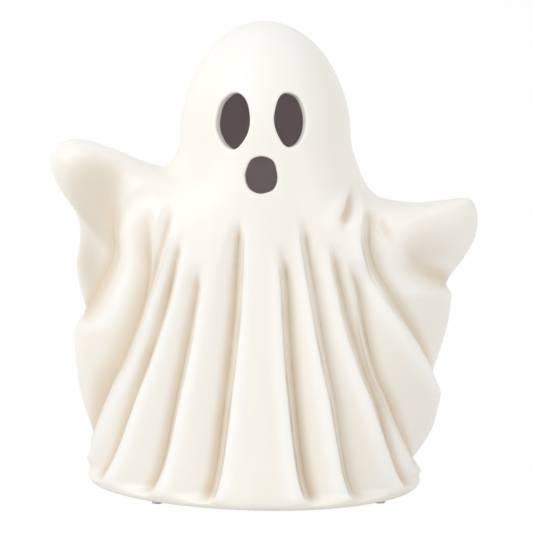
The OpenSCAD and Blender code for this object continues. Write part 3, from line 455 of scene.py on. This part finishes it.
def facing(points):  # unit vectors square to the grid, out of the figure
    along = np.roll(points, -1, 1) - np.roll(points, 1, 1)
    down = np.gradient(points, axis=0)
    n = np.cross(along, down)
    n /= np.maximum(np.linalg.norm(n, axis=-1), 1e-9)[..., None]
    middle = [0, 0, 90]
    inward = (n * (points - middle)).sum() < 0
    return -n if inward else n


def buildGhost():
    d, domeEnd = ghost, ghost["domeRings"]
    upperEnd = domeEnd + d["upperRings"]
    lowerRings = lastRing - upperEnd
    vRows = np.concatenate([np.arange(1, domeEnd * d["domeRows"]) / d["domeRows"],
                            domeEnd + np.arange(d["upperRings"] * d["upperRows"]) / d["upperRows"],
                            upperEnd + np.arange(lowerRings * d["lowerRows"] + 1) / d["lowerRows"]])
    u = columnAngles(vRows)
    v = np.repeat(vRows[:, None], d["columns"], 1)
    u, v, blocks = openHoles(u, v)
    points, turn, tints = skin(u, v)
    normal = facing(skin(u, v, withCuts=False)[0])
    inner = (skin(u, v, deepest=d["insideReach"])[0] - d["wall"] * normal)[::2, ::2]
    print("drape:", len(foldCopies), "folds on", u.shape, "rows and columns, round", ", ".join(holes))

    def rolled(at, z):  # turns the hem under, more the lower it is
        low = np.clip((d["rollHeight"] - z) / d["rollHeight"], 0, 1)
        inset = d["rollInset"] * (1 - np.sqrt(np.maximum(1 - low * low, 0)))
        return np.concatenate([at[..., :2] - turn[-at.shape[0]:] * inset[..., None], z[..., None]], -1)

    skirt = slice(len(points) - d["rollRows"], len(points))
    points[skirt] = rolled(points[skirt], points[skirt][..., 2])
    verts, faces, insideShares = [], [], []
    tinted = {name: [] for name in tints}

    def ring(at, tint=None, inside=0.0):  # adds a ring of points and gives their numbers
        start = len(verts)
        verts.extend(np.asarray(at).tolist())
        for name, values in tinted.items():
            values.extend((tint[name] if tint else np.zeros(len(at))).tolist())
        insideShares.extend(np.full(len(at), inside).tolist())
        return np.arange(start, start + len(at))

    def level(flat, z):  # points of the plane at one height
        return np.concatenate([flat[:, :2], np.full((len(flat), 1), float(z))], 1)

    def band(first, second):  # quads between two rings, or a 2 to 1 step
        n = len(first)
        if len(second) == n:
            for k in range(n):
                m = (k + 1) % n
                faces.append((first[k], first[m], second[m], second[k]))
        else:
            for k in range(len(second)):
                m = (k + 1) % len(second)
                a, b, c = first[2 * k], first[2 * k + 1], first[(2 * k + 2) % n]
                faces.append((a, b, second[k]))
                faces.append((b, c, second[m], second[k]))

    def bands(rings):
        for first, second in zip(rings, rings[1:]):
            band(first, second)

    def cover(grid, blocks):  # a whole grid of quads with the holes' blocks left out
        for i in range(len(grid) - 1):
            for j in range(len(grid[0])):
                if not any(-hi <= i - ic < hi and -hj <= j - jc < hj for ic, jc, hi, hj in blocks):
                    m = (j + 1) % len(grid[0])
                    faces.append((grid[i][j], grid[i][m], grid[i + 1][m], grid[i + 1][j]))

    def blockEdge(block):  # the places round a block, in order
        ic, jc, hi, hj = block
        top, low, left, right = ic - hi, ic + hi, jc - hj, jc + hj
        return ([(top, j) for j in range(left, right)] + [(i, right) for i in range(top, low)]
                + [(low, j) for j in range(right, left, -1)] + [(i, left) for i in range(low, top, -1)])

    # the outside, from the crown to the hem
    rowTints = [{name: tint[i] for name, tint in tints.items()} for i in range(len(points))]
    outer = [ring(points[i], rowTints[i]) for i in range(len(points))]
    crown = ring([[0, 0, d["height"]]])[0]
    for j in range(d["columns"]):
        faces.append((crown, outer[0][(j + 1) % d["columns"]], outer[0][j]))
    cover(outer, blocks)

    # the hem rolled under, and the foot ring
    hem = [outer[-1]]
    endZ = points[-1][:, 2]
    base = skin(u[-1:], v[-1:])[0][0]
    for share in d["rollSteps"]:
        hem.append(ring(rolled(base[None], (endZ * share)[None])[0], rowTints[-1]))
    foot = np.array(verts)[hem[-1]][:, :2]
    footSteps = [(d["footEdge"], 0), (d["footWidth"] - d["footEdge"], 0), (d["footWidth"], d["footBevel"])]
    for step, z in footSteps:
        hem.append(ring(level(foot - turn[-1] * step, z), inside=1.0))
    bands(hem)

    # the recess under the floor, and the bore through it
    edge = np.array(verts)[hem[-1]][::2]
    recessTop = ring(level(edge, d["recess"] - d["recessBevel"]), inside=1.0)
    band(hem[-1], recessTop)
    away = np.degrees(np.arctan2(edge[:, 1], edge[:, 0]))
    boreRing = np.stack([np.cos(np.radians(away)), np.sin(np.radians(away))], 1) * d["bore"]
    ceiling = [recessTop]
    for share in d["ceilingSteps"]:
        ceiling.append(ring(level(edge[:, :2] * (1 - share) + boreRing * share, d["recess"]), inside=1.0))
    floorTop = d["recess"] + d["floor"]
    ceiling.append(ring(level(boreRing, floorTop), inside=1.0))
    bands(ceiling)

    # the inside, from the floor up
    innerRows = [row for row in inner if row[:, 2].min() > floorTop + d["aboveFloor"]]
    lowest = innerRows[-1]
    innerRings = [ring(row, inside=1.0) for row in innerRows]
    floorEdge = ring(level(lowest, floorTop), inside=1.0)
    floorMid = ring(level((lowest[:, :2] + boreRing) / 2, floorTop), inside=1.0)
    bands([ceiling[-1], floorMid, floorEdge, innerRings[-1]])
    innerBlocks = [tuple(k // 2 for k in block) for block in blocks]
    cover(innerRings, innerBlocks)
    crownIn = ring([[0, 0, d["height"] - d["wall"]]], inside=1.0)[0]
    for j in range(len(innerRings[0])):
        faces.append((crownIn, innerRings[0][j], innerRings[0][(j + 1) % len(innerRings[0])]))

    # each hole's rounded lip and the cut through the wall
    for block, innerBlock in zip(blocks, innerBlocks):
        walk = blockEdge(block)
        at = np.array([points[i][j] for i, j in walk])
        n = np.array([normal[i][j] for i, j in walk])
        tangent = np.roll(at, -1, 0) - np.roll(at, 1, 0)
        into = np.cross(n, tangent)
        into /= np.linalg.norm(into, axis=1)[:, None]
        if (into * (at.mean(0) - at)).sum() < 0:
            into = -into
        axis = n.mean(0) * [1, 1, d["boreRise"]]
        bored = (1 - d["boreShare"]) * n + d["boreShare"] * axis / np.linalg.norm(axis)
        bored /= np.linalg.norm(bored, axis=1)[:, None]
        rings = [np.array([outer[i][j] for i, j in walk])]
        for a in np.radians(d["lipTurns"]):
            rings.append(ring(at + d["lip"] * (into * math.sin(a) - n * (1 - math.cos(a)))))
        for depth in (*d["boreSteps"], d["boreEnd"]):
            rings.append(ring(at + d["lip"] * into - bored * (d["wall"] * depth),
                              inside=float(depth == d["boreEnd"])))
        rings.append(np.array([innerRings[i][j] for i, j in blockEdge(innerBlock)]))
        bands(rings)

    verts = (np.array(verts) + [0, 0, d["footZ"]]) * mm
    mesh = bpy.data.meshes.new("ceramicGhost")
    mesh.from_pydata(verts.tolist(), [], [tuple(int(k) for k in f) for f in faces])
    for name, values in [*tinted.items(), ("inside", insideShares)]:
        layer = mesh.attributes.new(name, "FLOAT", "POINT")
        layer.data.foreach_set("value", np.array(values, np.float32))
    casting = bmesh.new()
    casting.from_mesh(mesh)
    loose = [p for p in casting.verts if not p.link_faces]
    bmesh.ops.delete(casting, geom=loose, context="VERTS")
    bmesh.ops.recalc_face_normals(casting, faces=casting.faces)
    openEdges = sum(1 for e in casting.edges if len(e.link_faces) != 2)
    print("ghost:", len(casting.verts), "points,", len(casting.faces), "faces, open edges", openEdges,
          "volume ml", round(casting.calc_volume() * 1e6, 1))
    casting.to_mesh(mesh)
    casting.free()
    mesh.shade_smooth()
    mesh.set_sharp_from_angle(angle=math.radians(d["sharpAngle"]))
    return bpy.data.objects.new("ceramicGhost", mesh)


glazeLook = {
    "ridge": paint(0.940, 0.928, 0.880), "crest": paint(0.985, 0.980, 0.955),
    "blush": paint(0.905, 0.850, 0.760), "tan": paint(0.765, 0.645, 0.500),
    "paintedShade": paint(0.715, 0.640, 0.545), "line": paint(0.430, 0.345, 0.250),
    "inside": paint(0.975, 0.930, 0.935), "insideShade": paint(0.860, 0.760, 0.765),
    "foot": paint(0.640, 0.570, 0.470), "insideGlow": paint(0.0225, 0.0185, 0.0200),
    "cloudShare": 0.30, "runShare": 0.35, "hemShare": 0.22, "crestHighlightClean": 0.9,  # what warms the ivory
    "crestHighlightShare": 0.8, "lineShare": 0.75, "pinShare": 0.55, "pinSize": 0.045,
    "warmUpTo": (0.125, 0.165), "paleUpTo": (0.143, 0.160), "glowsFrom": (0.010, 0.020),  # heights in metres
    "bareUpTo": 0.00112, "rough": 0.36, "patchRough": 0.14, "insideRough": 0.35, "bump": (0.06, 0.0006),
    "patches": (38, 3.0, 0.55), "clouds": 14, "runs": 55, "runStretch": (1, 1, 0.12), "specks": 520,
    "grain": 260,
}


def glaze():
    look = glazeLook
    f = Finish("ivoryGlaze", {"Coat Weight": 0.22, "Coat Roughness": 0.28, "Specular IOR Level": 0.35,
                              "Emission Strength": 1.0})
    hollow, paintedShade, crease, crest, inside = (f.painted(name) for name in (
        "hollow", "paintedShade", "crease", "crest", "inside"))
    height = f.along(2)
    patches = f.noise(*look["patches"])
    clouds = f.noise(look["clouds"])
    runs = f.noise(look["runs"], place=f.stretched(*look["runStretch"]))
    specks = f.cells(look["specks"])
    gathered = (hollow * (0.62 + patches * 0.55)).soft(0.12, 0.98)
    line = (crease * (0.45 + patches * 0.9)).soft(0.25, 0.95)
    low = 1 - height.soft(*look["warmUpTo"])
    streaks = runs.soft(0.42, 0.72) * look["runShare"] * (0.35 + low * 0.65)
    warm = clouds.soft(0.40, 0.75) * look["cloudShare"] + streaks + low * look["hemShare"]
    # the crests lose the warm tint and turn whiter: partly the thinner glaze on the ridges, partly a painted
    # highlight
    warm = warm * (1 - crest * look["crestHighlightClean"])
    colour = warm.mixed(look["ridge"], look["blush"])
    colour = (crest * look["crestHighlightShare"]).mixed(colour, look["crest"])
    # painted shade in the hands' hollows and under the hands
    colour = paintedShade.soft(0.0, 1.1).mixed(colour, look["paintedShade"])
    colour = gathered.mixed(colour, look["tan"])
    colour = (line * look["lineShare"]).mixed(colour, look["line"])
    pin = (specks < look["pinSize"]) * (patches > 0.60) * look["pinShare"]
    colour = pin.mixed(colour, look["line"])
    # the upper inside is painted a darker mauve as painted shade; lower down it keeps its pale colour
    lowHollow = 1 - height.soft(*look["paleUpTo"])
    within = lowHollow.mixed(look["insideShade"], look["inside"])
    colour = inside.soft(0.1, 0.6).mixed(colour, within)
    bare = (height < look["bareUpTo"]) * (inside > 0.9)
    f.feed("Base Color", bare.mixed(colour, look["foot"]))
    glowShare = inside * height.soft(*look["glowsFrom"])  # a painted glow on the lower inside, standing in for light that falls in through the eyes
    f.feed("Emission Color", (glowShare * lowHollow).mixed(paint(0, 0, 0), look["insideGlow"]))
    rough = look["rough"] + patches * look["patchRough"] + inside.soft(0.3, 0.9) * look["insideRough"]
    f.feed("Roughness", rough)
    f.bump(f.noise(look["grain"]) * 0.7 + patches * 0.5, *look["bump"])
    return f.material


ghostPiece = buildGhost()
bpy.context.collection.objects.link(ghostPiece)
ghostPiece.data.materials.append(glaze())
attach(ghostPiece, "ghost")
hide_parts("ghost_shell")


plasticLook = {"grain": 2600, "flow": 55, "shade": 0.94, "unevenGloss": 0.10, "bump": (0.18, 0.00012)}


def mouldedPlastic(name, colour, rough):
    look, f = plasticLook, Finish(name, {"Specular IOR Level": 0.45})
    flow = f.noise(look["flow"])
    f.feed("Base Color", flow.soft(0.35, 0.7).mixed(colour, toned(colour, look["shade"])))
    f.feed("Roughness", rough + (flow - 0.5) * look["unevenGloss"])
    f.bump(f.noise(look["grain"]), *look["bump"])
    return f.material


steelLook = {"lines": (900, 3.0, 0.6), "shade": 0.86, "unevenGloss": 0.12, "bump": (0.10, 0.00005)}


def plainSteel(name, colour, rough, lengths=(1, 1, 1)):
    look, f = steelLook, Finish(name, {"Metallic": 1.0})
    lines = f.noise(*look["lines"], f.stretched(*lengths))
    f.feed("Base Color", lines.soft(0.3, 0.7).mixed(colour, toned(colour, look["shade"])))
    f.feed("Roughness", rough + lines * look["unevenGloss"])
    f.bump(lines, *look["bump"])
    return f.material


rubberLook = {
    "dust": (420, 3.0), "dimples": (180, 1.0), "shade": 0.9, "rough": 0.28, "unevenGloss": 0.2,
    "bump": (0.2, 0.0003),
}


def softRubber(name, colour, clear):
    look, f = rubberLook, Finish(name, {"Transmission Weight": clear, "IOR": 1.42})
    dust = f.noise(*look["dust"])
    f.feed("Base Color", dust.soft(0.45, 0.8).mixed(colour, toned(colour, look["shade"])))
    f.feed("Roughness", look["rough"] + dust * look["unevenGloss"])
    f.bump(f.noise(*look["dimples"]), *look["bump"])
    return f.material


sleeveLook = {  # where each colour lies is in metres from the cell's middle, towards its nub
    "green": paint(0.035, 0.125, 0.075), "paleGreen": paint(0.05, 0.165, 0.10),
    "copper": paint(0.60, 0.32, 0.14), "copperAt": (0.0145, 0.0222),
    "seam": paint(0.75, 0.70, 0.55), "seamAt": (0.0142, 0.0146),
    "nickel": paint(0.72, 0.71, 0.69), "nubFrom": 0.0227, "baseTo": -0.0202,
}


def cellSleeve(name, way):  # nickel ends, a green sleeve and a copper band by the nub
    look, f = sleeveLook, Finish(name, {"Coat Weight": 0.3, "Coat Roughness": 0.15})
    y = f.along(1) * way
    scuff = f.noise(300, detail=3.0)
    green = scuff.soft(0.35, 0.75).mixed(look["green"], look["paleGreen"])
    band = y.between(*look["copperAt"])
    colour = band.mixed(green, look["copper"])
    colour = y.between(*look["seamAt"]).mixed(colour, look["seam"])
    bare = (y > look["nubFrom"]) + (y < look["baseTo"])
    f.feed("Base Color", bare.mixed(colour, look["nickel"]))
    f.feed("Metallic", band * 0.8 + bare)
    f.feed("Roughness", 0.26 + scuff * 0.14)
    f.bump(scuff, strength=0.08, distance=0.00005)
    return f.material


boardLook = {
    "mask": paint(0.015, 0.105, 0.045), "overTracks": paint(0.035, 0.18, 0.075),
    "mottle": paint(0.03, 0.13, 0.06), "trackScale": 260.0, "trackWidth": 0.045,
}


def boardGreen():
    look, f = boardLook, Finish("boardGreen", {"Coat Weight": 0.4, "Coat Roughness": 0.2})
    tracks = f.place.node("TexBrick", {"offset": 0.37, "squash": 1.6}, {
        "Vector": f.place, "Scale": look["trackScale"], "Mortar Size": look["trackWidth"],
        "Color1": paint(0, 0, 0), "Color2": paint(0, 0, 0), "Mortar": paint(1, 1, 1)}, 1)
    mottle = f.noise(700)
    colour = (tracks * 0.5).mixed(look["mask"], look["overTracks"])
    f.feed("Base Color", (mottle.soft(0.6, 0.8) * 0.3).mixed(colour, look["mottle"]))
    f.feed("Roughness", 0.34 + mottle * 0.1)
    f.bump(tracks, strength=0.2, distance=0.00005)
    return f.material


chipLook = {
    "body": paint(0.018, 0.018, 0.02), "paleBody": paint(0.03, 0.03, 0.032),
    "legs": paint(0.62, 0.62, 0.61), "bodyHalf": 0.00197,
}


def chipBlack():
    look, f = chipLook, Finish("chipBlack")
    low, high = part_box("timer_chip")
    legs = abs(f.along(1) - (low.y + high.y) / 2) > look["bodyHalf"]
    grain = f.noise(3000)
    body = grain.soft(0.3, 0.7).mixed(look["body"], look["paleBody"])
    f.feed("Base Color", legs.mixed(body, look["legs"]))
    f.feed("Metallic", legs)
    f.feed("Roughness", 0.6 - legs * 0.3 + grain * 0.05)
    f.bump(grain, strength=0.15, distance=0.00005)
    return f.material


resistorLook = {
    "body": paint(0.56, 0.42, 0.24), "paleBody": paint(0.62, 0.48, 0.29), "leads": paint(0.66, 0.66, 0.66),
    "bodyHalf": 0.00226, "bandHalf": 0.00022,
    "bands": [(-0.0016, paint(0.35, 0.02, 0.02)), (-0.0007, paint(0.35, 0.02, 0.02)),
              (0.0002, paint(0.10, 0.05, 0.02)), (0.0015, paint(0.62, 0.42, 0.10))],
}


def bandedResistor():
    look, f = resistorLook, Finish("bandedResistor")
    low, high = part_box("resistor")
    x = f.along(0) - (low.x + high.x) / 2
    leads = abs(x) > look["bodyHalf"]
    dust = f.noise(1500)
    colour = dust.soft(0.3, 0.7).mixed(look["body"], look["paleBody"])
    for place, ink in look["bands"]:
        colour = x.between(place - look["bandHalf"], place + look["bandHalf"]).mixed(colour, ink)
    f.feed("Base Color", leads.mixed(colour, look["leads"]))
    f.feed("Metallic", leads)
    f.feed("Roughness", 0.38 - leads * 0.08 + dust * 0.08)
    return f.material


canLook = {
    "sleeve": paint(0.02, 0.024, 0.05), "paleSleeve": paint(0.03, 0.035, 0.07),
    "stripe": paint(0.45, 0.46, 0.50), "stripeDeep": 0.0006, "top": paint(0.7, 0.7, 0.7), "topDeep": 0.00022,
}


def capacitorCan():
    look, f = canLook, Finish("capacitorCan", {"Coat Weight": 0.3})
    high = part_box("capacitor")[1]
    top = f.along(2) > high.z - look["topDeep"]
    stripe = f.along(0) > high.x - look["stripeDeep"]
    dust = f.noise(1200)
    colour = dust.soft(0.3, 0.7).mixed(look["sleeve"], look["paleSleeve"])
    colour = stripe.mixed(colour, look["stripe"])
    f.feed("Base Color", top.mixed(colour, look["top"]))
    f.feed("Metallic", top)
    f.feed("Roughness", 0.3 + dust * 0.1)
    return f.material


lensLook = {"clear": paint(0.96, 0.93, 0.80), "yellowed": paint(0.92, 0.86, 0.66)}


def lampLens():
    f = Finish("lampLens", {"Transmission Weight": 0.55, "IOR": 1.5})
    haze = f.noise(500)
    f.feed("Base Color", haze.soft(0.3, 0.7).mixed(lensLook["clear"], lensLook["yellowed"]))
    f.feed("Roughness", 0.12 + haze * 0.12)
    return f.material


capLook = {"frost": paint(0.93, 0.93, 0.90), "thinFrost": paint(0.88, 0.88, 0.85)}


def frostedCap():
    f = Finish("frostedCap", {"Transmission Weight": 0.5, "IOR": 1.45})
    frost = f.noise(1800, detail=3.0)
    f.feed("Base Color", f.noise(60).soft(0.3, 0.7).mixed(capLook["frost"], capLook["thinFrost"]))
    f.feed("Roughness", 0.5 + frost * 0.2)
    f.bump(frost, strength=0.2, distance=0.00008)
    return f.material


wireLook = {"dust": (900, 3.0), "shade": 0.75, "bloom": 0.02, "rough": 0.34, "unevenGloss": 0.18}


def leadSleeve(name, colour):
    look, f = wireLook, Finish(name, {"Specular IOR Level": 0.5})
    dust = f.noise(*look["dust"])
    f.feed("Base Color", dust.soft(0.35, 0.8).mixed(colour, toned(colour, look["shade"], look["bloom"])))
    f.feed("Roughness", look["rough"] + dust * look["unevenGloss"])
    return f.material


# the light unit and the pads keep their solids and only get their finish
housing = mouldedPlastic("housingPlastic", paint(0.74, 0.74, 0.70), 0.46)
screws = plainSteel("screwSteel", paint(0.60, 0.61, 0.63), 0.26)
contacts = plainSteel("contactNickel", paint(0.74, 0.73, 0.70), 0.18)
nodeFinish = {
    "foot_pads": softRubber("clearPad", paint(0.80, 0.81, 0.80), 0.55),
    "sealant_ring": softRubber("sealant", paint(0.84, 0.84, 0.81), 0.0),
    "light_housing": housing,
    "housing_cover": housing,
    "cover_screws": screws,
    "battery_door": mouldedPlastic("doorPlastic", paint(0.72, 0.72, 0.68), 0.42),
    "battery_1": cellSleeve("cellSleeveOut", 1),
    "battery_2": cellSleeve("cellSleeveBack", -1),
    "battery_3": cellSleeve("cellSleeveEnd", 1),
    "contact_springs": contacts,
    "contact_plates": contacts,
    "circuit_board": boardGreen(),
    "board_screws": screws,
    "timer_chip": chipBlack(),
    "resistor": bandedResistor(),
    "capacitor": capacitorCan(),
    "led_lens": lampLens(),
    "led_leads": plainSteel("tinnedLead", paint(0.70, 0.70, 0.71), 0.24, (1, 1, 0.1)),
    "light_diffuser": frostedCap(),
    "switch_body": plainSteel("switchSteel", paint(0.60, 0.61, 0.62), 0.28, (1, 0.15, 1)),
    "switch_slider": mouldedPlastic("knobBlack", paint(0.022, 0.022, 0.025), 0.38),
    "switch_screws": screws,
    "red_wire": leadSleeve("wireRed", paint(0.42, 0.012, 0.010)),
    "black_wire": leadSleeve("wireBlack", paint(0.015, 0.015, 0.018)),
    "switch_wires": leadSleeve("wireYellow", paint(0.60, 0.42, 0.03)),
}
for name, material in nodeFinish.items():
    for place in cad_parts[name].material_slots:
        place.material = material
print("finishes:", len(nodeFinish), "solids")


studio = {  # metres and watts
    "world": 0.73, "floor": paint(0.80, 0.79, 0.77), "floorWhite": 0.97, "floorHalf": 6, "aim": 0.11,
    "lamps": {
        "key": {"power": 11.8, "at": (-1.30, -0.98, 1.15), "size": 1.0},
        "fill": {"power": 2.6, "at": (1.1, -0.9, 0.5), "size": 0.9},
    },
}
white = paint(1, 1, 1)


def seenDirectly(tree):  # 1 for rays from the camera, or through glass or off gloss
    rays = tree.nodes.new("ShaderNodeLightPath")
    straight, gloss, glass = (Feed(tree, rays.outputs[name]) for name in (
        "Is Camera Ray", "Is Glossy Ray", "Is Transmission Ray"))
    return (straight + gloss + glass).atMost(1.0)


def emptied(tree):
    tree.nodes.clear()
    return tree


def buildWorld():
    world = bpy.data.worlds.new("studio")
    world.use_nodes = True
    bpy.context.scene.world = world
    tree = emptied(world.node_tree)
    seen = seenDirectly(tree)
    light = seen.node("Background", None, {"Color": white, "Strength": studio["world"]})
    backdrop = seen.node("Background", None, {"Color": white, "Strength": 1.0})
    mixed = seen.node("MixShader", None, {0: seen, 1: light, 2: backdrop})
    out = tree.nodes.new("ShaderNodeOutputWorld")
    tree.links.new(mixed.socket, out.inputs["Surface"])


def paleFloor():
    material = bpy.data.materials.new("paleFloor")
    material.use_nodes = True
    tree = emptied(material.node_tree)
    seen = seenDirectly(tree)
    matt = seen.node("BsdfDiffuse", None, {"Color": studio["floor"]})
    glow = seen.node("Emission", None, {"Color": white, "Strength": 1.0})
    top = seen.node("MixShader", None, {0: seen * studio["floorWhite"], 1: matt, 2: glow})
    clear = seen.node("BsdfTransparent", None, {"Color": white})
    under = seen.node("NewGeometry", None, None, 6)  # the back, which a look from below goes through
    oneSided = seen.node("MixShader", None, {0: under, 1: top, 2: clear})
    out = tree.nodes.new("ShaderNodeOutputMaterial")
    tree.links.new(oneSided.socket, out.inputs["Surface"])
    return material


def buildFloor():
    half = studio["floorHalf"]
    mesh = bpy.data.meshes.new("floor")
    mesh.from_pydata([(-half, -half, 0), (half, -half, 0), (half, half, 0), (-half, half, 0)], [],
                     [(0, 1, 2, 3)])
    floor = bpy.data.objects.new("floor", mesh)
    bpy.context.collection.objects.link(floor)
    mesh.materials.append(paleFloor())


def hangLamps():
    for name, look in studio["lamps"].items():
        lamp = bpy.data.lights.new(name, "AREA")
        lamp.shape, lamp.size, lamp.energy = "DISK", look["size"], look["power"]
        holder = bpy.data.objects.new(name, lamp)
        holder.location = look["at"]
        towards = Vector((0, 0, studio["aim"])) - Vector(look["at"])
        holder.rotation_euler = towards.to_track_quat("-Z", "Y").to_euler()
        bpy.context.collection.objects.link(holder)


camera = {  # metres and degrees, then the lens in the picture's pixels and the sensor in mm
    "distance": 1.4, "aim": 0.108, "above": 8.0,
    "picture": 533, "focal": 3041.0, "middle": (264.0, 255.9), "sensor": 36,
}


def buildCamera():
    lens = bpy.data.cameras.new("photoView")
    holder = bpy.data.objects.new("photoView", lens)
    bpy.context.collection.objects.link(holder)
    down = math.radians(camera["above"])
    look = Vector((0, math.cos(down), -math.sin(down)))
    holder.location = Vector((0, 0, camera["aim"])) - look * camera["distance"]
    holder.rotation_euler = look.to_track_quat("-Z", "Y").to_euler()
    picture, (x, y) = camera["picture"], camera["middle"]
    lens.sensor_width = camera["sensor"]
    lens.lens = camera["sensor"] * camera["focal"] / picture
    lens.shift_x = (picture / 2 - x) / picture
    lens.shift_y = (y - picture / 2) / picture
    bpy.context.scene.camera = holder


buildWorld()
buildFloor()
hangLamps()
buildCamera()
bpy.context.scene.view_settings.view_transform = "Standard"
print("studio:", len(studio["lamps"]), "lamps, camera", camera["above"], "degrees up")
